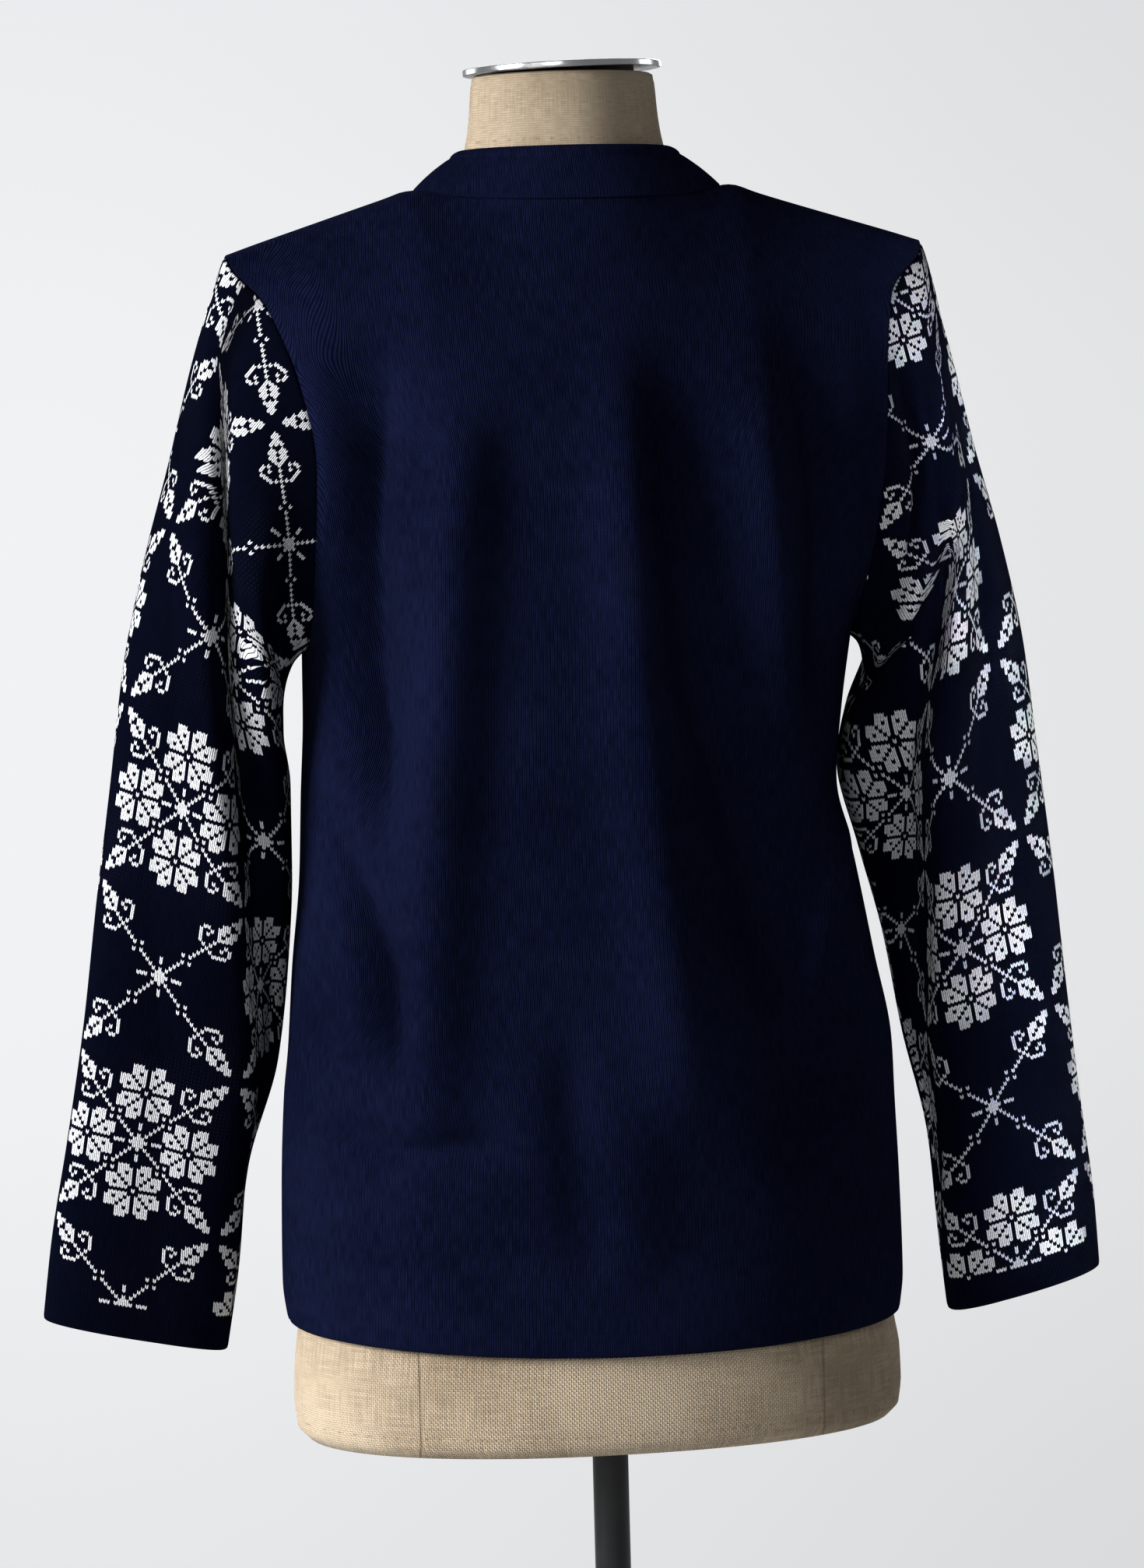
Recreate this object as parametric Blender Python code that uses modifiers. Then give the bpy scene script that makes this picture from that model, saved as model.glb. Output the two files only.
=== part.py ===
"""Long-sleeved knit cardigan on a limbless dress form with its stand.

Metres, +Z up. The cardigan's front faces -Y and the wearer's left is +X.
The origin is on the underside of the round base, under the pole.
Every cloth surface below is the wall's inner skin; Solidify adds the wall outward.
"""
import math
from collections import namedtuple

import bmesh
import bpy
from mathutils import Vector
from mathutils.bvhtree import BVHTree

# Cloth
WALL = 0.002
SEAM = 0.0003
JOIN = WALL + 0.0006          # a wall that starts on top of another wall
HALF_SEAM = SEAM / 2 + 0.00005

# Cardigan, real size
BODY_MID_Y = -0.038           # middle of the body, in front of the pole
HEM_Z = 0.855
HEM_DIP = 0.007               # the hem hangs lower at the middle
HEM_LEAN = 0.003
UNDERARM_Z = 1.246
TIP_Z = 1.464
TIP_X = 0.1975
TIP_Y = -0.012
NECK_X = 0.089                # neckband seam, half width
NECK_Y = -0.040
NECK_BACK = 0.070
NECK_FRONT = 0.088
NECK_Z = 1.500
NECK_DROP_BACK = 0.008
NECK_DROP_FRONT = 0.063
BAND_HALF = 0.015             # button band, half width
BAND_SEAM = 0.0024            # neckband above the panels, where it turns up
BAND_TOP_Z = 1.5210
BAND_TOP_DROP = 0.052         # the neckband's top edge lies lower at the front
BAND_FRONT_SPREAD = 0.018
BAND_FRONT_ROOM = 0.0045       # for the under band and the form inside it
BAND_BULGE = 0.0015
SECTION_POWER = 2.3
ARM_REACH_BACK = 0.68         # share of the body's depth at the armhole's edge
ARM_REACH_FRONT = 0.58
ARM_RISE = 0.75

BODY_COLUMNS_BACK = 28
BODY_COLUMNS_FRONT = 12
LOWER_ROWS = 15
UPPER_ROWS = 13
SLEEVE_RINGS = 25
SLEEVE_SIDES = 20
NECK_SIDES = 34

# Buttons
BUTTON_COUNT = 7
BUTTON_RADIUS = 0.0075
BUTTON_THICK = 0.0028
BUTTON_LOW_Z = 0.895
BUTTON_HIGH_Z = 1.405
BUTTON_SIDES = 12
BUTTON_SEAT = 0.0005          # room over the curved band
BUTTON_RIM = 0.0007

# Dress form and stand
FORM_SIDES = 36
FORM_GAP = 0.0042             # the least room between cloth and form
NECK_GAP = 0.0006             # the same where the neckband lies on the neck
CAP_RADIUS = 0.0565
CAP_THICK = 0.0055
CAP_SPACER_RADIUS = 0.044
CAP_SPACER = 0.0025
CAP_TILT = math.radians(1.5)
CAP_SEAT = 0.0015              # room for the tilted spacer
POLE_RADIUS = 0.0102
BASE_RADIUS = 0.170
BASE_THICK = 0.012
BASE_EDGE = 0.004

BodyRow = namedtuple("BodyRow", "z left right back front")
BODY = (
    BodyRow(0.840, 0.1740, 0.1725, 0.1150, 0.110),
    BodyRow(0.858, 0.1765, 0.1745, 0.1165, 0.112),
    BodyRow(0.875, 0.1785, 0.1765, 0.1180, 0.113),
    BodyRow(0.930, 0.1775, 0.1755, 0.1195, 0.115),
    BodyRow(0.985, 0.1745, 0.1735, 0.1200, 0.116),
    BodyRow(1.010, 0.1715, 0.1730, 0.1180, 0.116),
    BodyRow(1.060, 0.1675, 0.1640, 0.1110, 0.114),
    BodyRow(1.110, 0.1620, 0.1545, 0.1040, 0.112),
    BodyRow(1.160, 0.1595, 0.1440, 0.1000, 0.116),
    BodyRow(1.200, 0.1570, 0.1480, 0.1000, 0.128),
    BodyRow(1.246, 0.1560, 0.1550, 0.1020, 0.141),
    BodyRow(1.290, 0.1545, 0.1620, 0.1040, 0.148),
    BodyRow(1.340, 0.1540, 0.1670, 0.1060, 0.140),
    BodyRow(1.390, 0.1640, 0.1700, 0.1040, 0.123),
    BodyRow(1.430, 0.1780, 0.1760, 0.0970, 0.108),
    BodyRow(1.464, 0.1975, 0.1975, 0.0890, 0.097),
    BodyRow(1.500, 0.1975, 0.1975, 0.0800, 0.090),
)

ShoulderPoint = namedtuple("ShoulderPoint", "x z")
SHOULDER = (
    ShoulderPoint(0.000, 1.5050),
    ShoulderPoint(0.089, 1.5000),
    ShoulderPoint(0.100, 1.4960),
    ShoulderPoint(0.120, 1.4895),
    ShoulderPoint(0.140, 1.4830),
    ShoulderPoint(0.160, 1.4765),
    ShoulderPoint(0.180, 1.4700),
    ShoulderPoint(0.1975, 1.4640),
)

# Folds of the body: a crest is raised, a trough has a negative height
Fold = namedtuple("Fold", "x_top z_top x_low z_low height width")
BACK_FOLDS = (
    Fold(0.130, 1.400, 0.131, 1.170, -0.0050, 0.013),
    Fold(0.152, 1.330, 0.158, 1.120, 0.0040, 0.012),
    Fold(0.093, 1.380, 0.108, 0.980, 0.0045, 0.020),
    Fold(0.150, 1.135, 0.110, 1.050, -0.0050, 0.012),
    Fold(0.010, 1.400, 0.000, 1.260, 0.0030, 0.016),
    Fold(-0.022, 1.370, -0.048, 1.130, -0.0060, 0.018),
    Fold(-0.048, 1.130, -0.068, 0.960, -0.0045, 0.030),
    Fold(-0.085, 1.370, -0.100, 1.130, 0.0045, 0.017),
    Fold(-0.100, 1.400, -0.108, 1.240, -0.0040, 0.012),
    Fold(-0.130, 1.160, -0.098, 1.040, -0.0045, 0.010),
    Fold(-0.112, 1.130, -0.158, 1.000, -0.0035, 0.012),
    Fold(0.060, 1.020, 0.045, 0.950, 0.0035, 0.030),
)
FRONT_FOLDS = (
    Fold(0.105, 1.270, 0.100, 0.960, 0.0045, 0.018),
    Fold(0.070, 1.240, 0.062, 0.930, -0.0045, 0.016),
    Fold(0.140, 1.220, 0.130, 1.040, -0.0035, 0.012),
    Fold(-0.098, 1.270, -0.108, 0.950, 0.0045, 0.018),
    Fold(-0.064, 1.240, -0.070, 0.940, -0.0045, 0.016),
    Fold(-0.134, 1.220, -0.138, 1.040, -0.0035, 0.012),
    Fold(0.130, 1.400, 0.090, 1.320, 0.0030, 0.014),
    Fold(-0.130, 1.400, -0.088, 1.320, 0.0030, 0.014),
)

# Sleeve rings: the outer line hangs from the shoulder tip, the inner one from the underarm
SleeveRow = namedtuple("SleeveRow", "z_outer x_outer z_inner x_left x_right y depth")
SLEEVE = (
    SleeveRow(1.440, 0.2085, 1.2440, 0.1705, 0.1700, -0.0385, 0.068),
    SleeveRow(1.400, 0.2190, 1.2350, 0.1730, 0.1730, -0.0385, 0.062),
    SleeveRow(1.350, 0.2300, 1.2180, 0.1735, 0.1715, -0.0400, 0.055),
    SleeveRow(1.295, 0.2455, 1.1950, 0.1735, 0.1590, -0.0430, 0.048),
    SleeveRow(1.235, 0.2590, 1.1650, 0.1700, 0.1530, -0.0480, 0.042),
    SleeveRow(1.170, 0.2680, 1.1180, 0.1700, 0.1650, -0.0560, 0.037),
    SleeveRow(1.100, 0.2780, 1.0650, 0.1725, 0.1800, -0.0670, 0.033),
    SleeveRow(1.030, 0.2870, 1.0050, 0.1790, 0.1920, -0.0800, 0.030),
    SleeveRow(0.960, 0.2980, 0.9400, 0.1960, 0.2090, -0.0990, 0.028),
    SleeveRow(0.900, 0.3085, 0.8800, 0.2030, 0.2165, -0.1150, 0.026),
    SleeveRow(0.851, 0.3145, 0.8290, 0.2110, 0.2240, -0.1290, 0.024),
)
SLEEVE_POWER = 2.15
CAP_SHARE = 0.20              # share of the sleeve that turns from the armhole to the arm

# Folds along a sleeve: angle from the outer line towards the back, at two shares of its length
SleeveFold = namedtuple("SleeveFold", "share_top angle_top share_low angle_low height width")
LEFT_SLEEVE_FOLDS = (
    SleeveFold(0.16, 84, 0.42, 112, -0.0060, 11),
    SleeveFold(0.42, 112, 0.98, 132, -0.0065, 12),
    SleeveFold(0.10, 120, 0.30, 150, 0.0045, 12),
    SleeveFold(0.20, 250, 0.80, 240, -0.0050, 13),
    SleeveFold(0.45, 290, 0.70, 300, 0.0035, 14),
)
RIGHT_SLEEVE_FOLDS = (
    SleeveFold(0.06, 66, 0.40, 92, -0.0060, 11),
    SleeveFold(0.40, 92, 0.94, 146, -0.0065, 12),
    SleeveFold(0.08, 104, 0.34, 128, 0.0050, 11),
    SleeveFold(0.22, 246, 0.78, 244, -0.0050, 13),
    SleeveFold(0.50, 292, 0.72, 298, 0.0035, 14),
)

# Sections of the form, from its flat bottom to the flat top of its neck
FormRow = namedtuple("FormRow", "z half back front power")
FORM = (
    FormRow(0.7900, 0.1600, 0.0620, -0.1340, 2.2),
    FormRow(0.7915, 0.1690, 0.0690, -0.1410, 2.2),
    FormRow(0.7970, 0.1745, 0.0735, -0.1455, 2.2),
    FormRow(0.8100, 0.1762, 0.0750, -0.1460, 2.2),
    FormRow(0.8300, 0.1757, 0.0748, -0.1455, 2.2),
    FormRow(0.8600, 0.1725, 0.0740, -0.1440, 2.2),
    FormRow(0.9100, 0.1700, 0.0740, -0.1430, 2.2),
    FormRow(0.9500, 0.1660, 0.0720, -0.1420, 2.2),
    FormRow(1.0100, 0.1550, 0.0660, -0.1380, 2.2),
    FormRow(1.0500, 0.1450, 0.0570, -0.1330, 2.2),
    FormRow(1.0900, 0.1330, 0.0470, -0.1270, 2.2),
    FormRow(1.1500, 0.1200, 0.0360, -0.1220, 2.2),
    FormRow(1.2200, 0.1310, 0.0420, -0.1430, 2.2),
    FormRow(1.2600, 0.1370, 0.0470, -0.1610, 2.2),
    FormRow(1.3000, 0.1420, 0.0510, -0.1710, 2.2),
    FormRow(1.3500, 0.1460, 0.0530, -0.1610, 2.2),
    FormRow(1.4000, 0.1530, 0.0480, -0.1440, 2.2),
    FormRow(1.4300, 0.1650, 0.0420, -0.1320, 2.2),
    FormRow(1.4470, 0.1780, 0.0370, -0.1220, 2.2),
    FormRow(1.4580, 0.1840, 0.0330, -0.1170, 2.2),
    FormRow(1.4640, 0.1840, 0.0310, -0.1145, 2.2),
    FormRow(1.4710, 0.1690, 0.0285, -0.1125, 2.2),
    FormRow(1.4780, 0.1470, 0.0260, -0.1100, 2.2),
    FormRow(1.4850, 0.1200, 0.0240, -0.1080, 2.1),
    FormRow(1.4920, 0.0960, 0.0215, -0.1060, 2.1),
    FormRow(1.4980, 0.0800, 0.0190, -0.1045, 2.0),
    FormRow(1.5050, 0.0690, 0.0160, -0.1030, 2.0),
    FormRow(1.5140, 0.0603, 0.0125, -0.1015, 2.0),
    FormRow(1.5250, 0.0565, 0.0105, -0.1005, 2.0),
    FormRow(1.5400, 0.0540, 0.0090, -0.0990, 2.0),
    FormRow(1.5580, 0.0523, 0.0075, -0.0975, 2.0),
    FormRow(1.5612, 0.0512, 0.0064, -0.0964, 2.0),
    FormRow(1.5625, 0.0485, 0.0037, -0.0937, 2.0),
)


def smooth_between(rows, key, value):
    """A monotone cubic through the named column of a table, as a function of its key column."""
    points = sorted((getattr(row, key), getattr(row, value)) for row in rows)
    xs = [p[0] for p in points]
    ys = [p[1] for p in points]
    slopes = [(ys[i + 1] - ys[i]) / (xs[i + 1] - xs[i]) for i in range(len(xs) - 1)]
    tangents = [slopes[0]]
    for before, after in zip(slopes, slopes[1:]):
        tangents.append(0.0 if before * after <= 0 else 2 * before * after / (before + after))
    tangents.append(slopes[-1])

    def read(x):
        if x <= xs[0]:
            return ys[0]
        if x >= xs[-1]:
            return ys[-1]
        i = next(k for k in range(len(xs) - 1) if x <= xs[k + 1])
        step = xs[i + 1] - xs[i]
        t = (x - xs[i]) / step
        return (
            ys[i] * (1 + 2 * t) * (1 - t) ** 2
            + tangents[i] * step * t * (1 - t) ** 2
            + ys[i + 1] * t * t * (3 - 2 * t)
            + tangents[i + 1] * step * t * t * (t - 1)
        )

    return read


def smoothstep(value, low, high):
    t = min(max((value - low) / (high - low), 0.0), 1.0)
    return t * t * (3 - 2 * t)


half_left = smooth_between(BODY, "z", "left")
half_right = smooth_between(BODY, "z", "right")
depth_back = smooth_between(BODY, "z", "back")
depth_front = smooth_between(BODY, "z", "front")
shoulder_z = smooth_between(SHOULDER, "x", "z")


def side_x(z, side):
    """Half width of the body at this height, on the wearer's left (side 1) or right (side -1)."""
    return half_left(z) if side > 0 else half_right(z)


def neck_turn(x):
    return math.sqrt(max(1 - (x / NECK_X) ** 2, 0.0))


def top_point(face, x):
    """Height and depth of the body's upper edge: the neckband seam, then the shoulder seam."""
    if abs(x) < NECK_X:
        turn = neck_turn(x)
        if face > 0:
            return NECK_Z - NECK_DROP_BACK * turn, NECK_Y + NECK_BACK * turn
        return NECK_Z - NECK_DROP_FRONT * turn ** 1.2, NECK_Y - NECK_FRONT * turn
    along = (abs(x) - NECK_X) / (TIP_X - NECK_X)
    return shoulder_z(abs(x)), NECK_Y + (TIP_Y - NECK_Y) * along


def body_depth(face, z):
    return depth_back(z) if face > 0 else depth_front(z)


def body_y(face, x, z, half):
    """Depth of the body's skin at x and z, between side edges that lie at +-half."""
    z_top, y_top = top_point(face, x)
    rise = min(max((z - UNDERARM_Z) / (z_top - UNDERARM_Z), 0.0), 1.0)
    reach = ARM_REACH_BACK if face > 0 else ARM_REACH_FRONT
    edge = reach * math.sqrt(1 - (1 - min(rise / ARM_RISE, 1.0)) ** 2)
    whole = half / (1 - edge ** SECTION_POWER) ** (1 / SECTION_POWER)
    inside = max(1 - (abs(x) / whole) ** SECTION_POWER, 0.0) ** (1 / SECTION_POWER)
    section = BODY_MID_Y + face * body_depth(face, z) * inside
    if rise == 0:
        return section
    softness = 1 - 0.5 * smoothstep(abs(x), 0.3 * NECK_X, 1.25 * NECK_X)
    return y_top + (section - y_top) * max(1 - rise ** 3, 0.0) ** softness


def fold_height(folds, x, z):
    total = 0.0
    for fold in folds:
        run = Vector((fold.x_low - fold.x_top, fold.z_low - fold.z_top))
        here = Vector((x - fold.x_top, z - fold.z_top))
        along = here.dot(run) / run.length_squared
        nearest = min(max(along, 0.0), 1.0)
        gap = (here - run * nearest).length
        fade = smoothstep(along, -0.05, 0.3) * (1 - smoothstep(along, 0.75, 1.1))
        total += fold.height * fade * math.exp(-(gap / fold.width) ** 2)
    return total


def body_z(face, x, row, half):
    """Height of a body row at x: rows 0 to 1 run from hem to underarm, 1 to 2 on to the top edge."""
    if row <= 1:
        hem = HEM_Z - HEM_DIP * math.cos(math.pi / 2 * x / half) + HEM_LEAN * x / half
        return hem + (UNDERARM_Z - hem) * row
    return UNDERARM_Z + (top_point(face, x)[0] - UNDERARM_Z) * (row - 1)


def row_half(face, row, side):
    """Where a body row ends: on the side seam or on the armhole."""
    if row <= 1:
        return side_x(HEM_Z + (UNDERARM_Z - HEM_Z) * row, side)
    return side_x(UNDERARM_Z + (TIP_Z - UNDERARM_Z) * (row - 1), side)


def body_point(face, x, row, raised=0.0):
    """A point of the body's skin, with its folds, moved out by raised."""
    side = 1 if x >= 0 else -1
    half = row_half(face, row, side)
    z = body_z(face, x, row, half)
    y = body_y(face, x, z, half)
    if row >= 2:
        y = top_point(face, x)[1]
    folds = BACK_FOLDS if face > 0 else FRONT_FOLDS
    calm = (1 - (abs(x) / half) ** 6) * (1 - smoothstep(row, 1.55, 1.95))
    lift = fold_height(folds, x, z) * max(calm, 0.0) + raised
    out = Vector((x / half ** 2, (y - BODY_MID_Y) / body_depth(face, z) ** 2))
    if out.length > 0:
        out.normalize()
    return Vector((x + out.x * lift, y + out.y * lift + face * HALF_SEAM, z))


def body_rows():
    lower = [i / LOWER_ROWS for i in range(LOWER_ROWS)]
    upper = [1 + math.sin(math.pi / 2 * i / UPPER_ROWS) for i in range(UPPER_ROWS + 1)]
    return lower + upper


def material(name, colour, roughness, metallic=0.0):
    made = bpy.data.materials.new(name)
    made.use_nodes = True
    shader = made.node_tree.nodes["Principled BSDF"]
    shader.inputs["Base Color"].default_value = (*colour, 1.0)
    shader.inputs["Roughness"].default_value = roughness
    shader.inputs["Metallic"].default_value = metallic
    return made


def finish(obj, collection, surface, smooth=True):
    obj.data.materials.append(surface)
    if smooth:
        obj.data.shade_smooth()
        obj.data.set_sharp_from_angle(angle=math.radians(40))
    for other in obj.users_collection:
        other.objects.unlink(obj)
    collection.objects.link(obj)
    return obj


def loft(name, rows, closed=False, capped=False):
    """A mesh through rows of points, each bridged to the next; rows may close into rings."""
    mesh = bmesh.new()
    made = [[mesh.verts.new(point) for point in row] for row in rows]
    for low, high in zip(made, made[1:]):
        count = len(low)
        for i in range(count if closed else count - 1):
            j = (i + 1) % count
            mesh.faces.new((low[i], low[j], high[j], high[i]))
    if capped:
        mesh.faces.new(list(reversed(made[0])))
        mesh.faces.new(made[-1])
    data = bpy.data.meshes.new(name)
    mesh.to_mesh(data)
    mesh.free()
    obj = bpy.data.objects.new(name, data)
    bpy.context.scene.collection.objects.link(obj)
    return obj


def give_wall(obj, outward=1.0):
    wall = obj.modifiers.new("Wall", "SOLIDIFY")
    wall.thickness = WALL
    wall.offset = outward
    return obj


def spread(low, high, count):
    """Evenly spaced values from low to high, both ends included."""
    return [low + (high - low) * i / count for i in range(count + 1)]


def build_back(collection, surface):
    rows = []
    for row in body_rows():
        line = []
        for turn in spread(-math.pi / 2, math.pi / 2, BODY_COLUMNS_BACK):
            side = 1 if turn >= 0 else -1
            line.append(body_point(1, row_half(1, row, side) * math.sin(turn), row))
        rows.append(list(reversed(line)))
    return finish(give_wall(loft("back_panel", rows)), collection, surface)


def build_front(side, collection, surface):
    name = "front_left" if side > 0 else "front_right"
    edge = BAND_HALF + SEAM
    rows = []
    for row in body_rows():
        half = row_half(-1, row, side)
        inner = math.asin(edge / half)
        turns = spread(inner, math.pi / 2, BODY_COLUMNS_FRONT)
        line = [body_point(-1, side * half * math.sin(turn), row) for turn in turns]
        rows.append(line if side > 0 else list(reversed(line)))
    return finish(give_wall(loft(name, rows)), collection, surface)


form_half = smooth_between(FORM, "z", "half")
form_back = smooth_between(FORM, "z", "back")
form_front = smooth_between(FORM, "z", "front")


def neck_ring(turn, rise):
    """The neckband from its seam (rise 0) to its top edge (rise 1); turn 0 is the back."""
    face = 1 if math.cos(turn) >= 0 else -1
    outward = Vector((math.sin(turn), math.cos(turn), 0.0))
    forward = max(-outward.y, 0.0) ** 1.2
    z, y = top_point(face, NECK_X * outward.x)
    steep = abs(outward.x) * forward
    low = Vector((NECK_X * outward.x, y, z + BAND_SEAM * (1 + 1.5 * steep)))
    low -= outward * BAND_SEAM * 2 * steep
    z = BAND_TOP_Z - BAND_TOP_DROP * forward
    middle = (form_back(z) + form_front(z)) / 2
    reach = (form_back(z) - form_front(z)) / 2 + NECK_GAP + BAND_FRONT_ROOM * forward
    half = form_half(BAND_TOP_Z) + NECK_GAP + BAND_FRONT_SPREAD * forward
    top = Vector((half * outward.x, middle + reach * outward.y, z))
    bulge = BAND_BULGE * math.sin(math.pi * rise)
    return low.lerp(top, rise) + (outward + Vector((0.0, 0.0, 0.4))) * bulge


def build_neckband(collection, surface):
    open_turn = math.asin((BAND_HALF + SEAM) / NECK_X) * 1.35
    turns = spread(-(math.pi - open_turn), math.pi - open_turn, NECK_SIDES)
    rows = [[neck_ring(turn, rise) for turn in reversed(turns)] for rise in (0, 0.33, 0.67, 1)]
    return finish(give_wall(loft("neckband", rows)), collection, surface)


def band_rows(half, raised):
    """Rows of a button band, from the hem to the neckband's top edge."""
    rows = []
    across = spread(-half, half, 2)
    for row in body_rows():
        rows.append([body_point(-1, x, row, raised) for x in across])
    slope = neck_ring(math.pi, 1.0) - neck_ring(math.pi, 0.0)
    outward = Vector((0.0, -slope.z, slope.y)).normalized()
    for rise in (0.33, 0.67, 1):
        points = [neck_ring(math.pi - x / NECK_X, rise) for x in across]
        rows.append([Vector((x, p.y, p.z)) + outward * raised for x, p in zip(across, points)])
    return rows


def build_button_bands(collection, surface):
    over = loft("button_band_right", band_rows(BAND_HALF, 0.0))
    under = loft("button_band_left", band_rows(BAND_HALF - 0.001, -WALL - 2 * SEAM))
    return [finish(give_wall(band), collection, surface) for band in (over, under)]


def build_buttons(collection, surface):
    span = BUTTON_HIGH_Z - BUTTON_LOW_Z
    for i in range(BUTTON_COUNT):
        z = BUTTON_LOW_Z + span * i / (BUTTON_COUNT - 1)
        if z <= UNDERARM_Z:
            row = (z - HEM_Z) / (UNDERARM_Z - HEM_Z)
        else:
            row = 1 + (z - UNDERARM_Z) / (top_point(-1, 0)[0] - UNDERARM_Z)
        here = body_point(-1, 0, row)
        above = body_point(-1, 0, row + 0.02)
        slope = (above - here).normalized()
        out = Vector((0, -slope.z, slope.y))
        centre = here + out * (WALL + BUTTON_SEAT + BUTTON_THICK / 2)
        bpy.ops.mesh.primitive_cylinder_add(
            vertices=BUTTON_SIDES, radius=BUTTON_RADIUS, depth=BUTTON_THICK, location=centre
        )
        button = bpy.context.object
        button.name = f"button_{i + 1}"
        button.rotation_euler = out.to_track_quat("Z", "Y").to_euler()
        rim = button.modifiers.new("Rim", "BEVEL")
        rim.width = BUTTON_RIM
        rim.segments = 1
        finish(button, collection, surface)


def sleeve_table(side):
    inner = "x_left" if side > 0 else "x_right"
    names = ("x_outer", "z_inner", inner, "y", "depth")
    return [smooth_between(SLEEVE, "z_outer", name) for name in names]


def armhole_point(side, angle):
    """Where the sleeve starts; angle 0 is the shoulder tip, 90 the back, 180 the underarm."""
    turn = math.cos(angle)
    face = 1 if math.sin(angle) >= 0 else -1
    row = 1 + (1 + turn) / 2
    half = row_half(face, row, side)
    under = smoothstep(-turn, 0.2, 1.0)
    raised = JOIN * smoothstep(-turn, -0.97, -0.4)
    point = body_point(face, side * half, row, raised)
    return point + Vector((side * (2 * SEAM + JOIN * under), 0.0, JOIN * under))


def sleeve_point(side, share, angle):
    """The sleeve's skin; share runs from the armhole to the cuff."""
    cuff_z, first_z = SLEEVE[-1].z_outer, SLEEVE[0].z_outer
    z_outer = first_z + (cuff_z - first_z) * share
    x_outer, z_inner, x_inner, y, depth = (read(z_outer) for read in sleeve_table(side))
    outer = Vector((x_outer, z_outer))
    inner = Vector((x_inner, z_inner))
    middle = (outer + inner) / 2
    reach = (outer - inner) / 2
    c, s = math.cos(angle), math.sin(angle)
    size = (abs(c) ** SLEEVE_POWER + abs(s) ** SLEEVE_POWER) ** (-1 / SLEEVE_POWER)
    lift = 0.0
    turn = math.degrees(angle) % 360
    folds = LEFT_SLEEVE_FOLDS if side > 0 else RIGHT_SLEEVE_FOLDS
    for fold in folds:
        along = (share - fold.share_top) / (fold.share_low - fold.share_top)
        centre = fold.angle_top + (fold.angle_low - fold.angle_top) * min(max(along, 0.0), 1.0)
        fade = smoothstep(along, -0.2, 0.15) * (1 - smoothstep(along, 0.85, 1.2))
        lift += fold.height * fade * math.exp(-((turn - centre) / fold.width) ** 2)
    flat = middle + reach * (c * size * (1 + lift / reach.length))
    return Vector((side * flat.x, y + s * size * (depth + lift), flat.y))


def build_sleeve(side, collection, surface):
    name = "sleeve_left" if side > 0 else "sleeve_right"
    angles = [2 * math.pi * i / SLEEVE_SIDES for i in range(SLEEVE_SIDES)]
    starts = [armhole_point(side, angle) - sleeve_point(side, 0.0, angle) for angle in angles]
    rings = []
    for i in range(SLEEVE_RINGS + 1):
        share = i / SLEEVE_RINGS
        pull = max(1 - share / CAP_SHARE, 0.0) ** 2
        rings.append([
            sleeve_point(side, share, angle) + start * pull for angle, start in zip(angles, starts)
        ])
    if side > 0:
        rings = [list(reversed(ring)) for ring in rings]
    return finish(give_wall(loft(name, rings, closed=True)), collection, surface)


def form_spoke(row, turn):
    """From the middle of one section of the form to its edge."""
    s, c = math.sin(turn), math.cos(turn)
    size = (abs(s) ** row.power + abs(c) ** row.power) ** (-1 / row.power)
    return Vector((row.half * s * size, (row.back - row.front) / 2 * c * size, 0.0))


def room_inside(skins, middle, spoke):
    """The share of a spoke that stays clear of the cloth's inner skins."""
    gap = NECK_GAP if middle.z > BAND_TOP_Z - WALL else FORM_GAP
    share = 1.0
    for lift in (-gap, 0.0, gap):
        for skin in skins:
            reach = skin.ray_cast(middle + Vector((0.0, 0.0, lift)), spoke)[3]
            if reach is not None:
                share = min(share, (reach - gap) / spoke.length)
    return share


def build_form(collection, surface, cloth):
    skins = []
    for piece in cloth:
        points = [vertex.co for vertex in piece.data.vertices]
        faces = [polygon.vertices for polygon in piece.data.polygons]
        skins.append(BVHTree.FromPolygons(points, faces))
    rings = []
    for row in FORM:
        middle = Vector((0.0, (row.back + row.front) / 2, row.z))
        spokes = [form_spoke(row, -2 * math.pi * i / FORM_SIDES) for i in range(FORM_SIDES)]
        rooms = [room_inside(skins, middle, spoke) for spoke in spokes]
        beside = zip(rooms[-1:] + rooms[:-1], rooms, rooms[1:] + rooms[:1])
        rings.append([middle + spoke * min(room) for spoke, room in zip(spokes, beside)])
    return finish(loft("dress_form", rings, closed=True, capped=True), collection, surface)


def build_cap(collection, surface):
    """Chrome cap on the neck: a thin disc on a smaller spacer, turned from one profile."""
    top = CAP_SPACER + CAP_THICK
    edge = CAP_THICK / 2
    profile = [
        (0.0, top),
        (CAP_RADIUS - edge, top),
        (CAP_RADIUS - edge * 0.35, top - edge * 0.35),
        (CAP_RADIUS, top - edge),
        (CAP_RADIUS - edge * 0.35, CAP_SPACER + edge * 0.35),
        (CAP_RADIUS - edge, CAP_SPACER),
        (CAP_SPACER_RADIUS, CAP_SPACER),
        (CAP_SPACER_RADIUS, 0.0),
        (0.0, 0.0),
    ]
    cap = turned("neck_cap", profile, 32)
    neck = FORM[-1]
    cap.location = (0.0, (neck.back + neck.front) / 2, neck.z + CAP_SEAT)
    cap.rotation_euler = (0.0, CAP_TILT, 0.0)
    return finish(cap, collection, surface)


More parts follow.
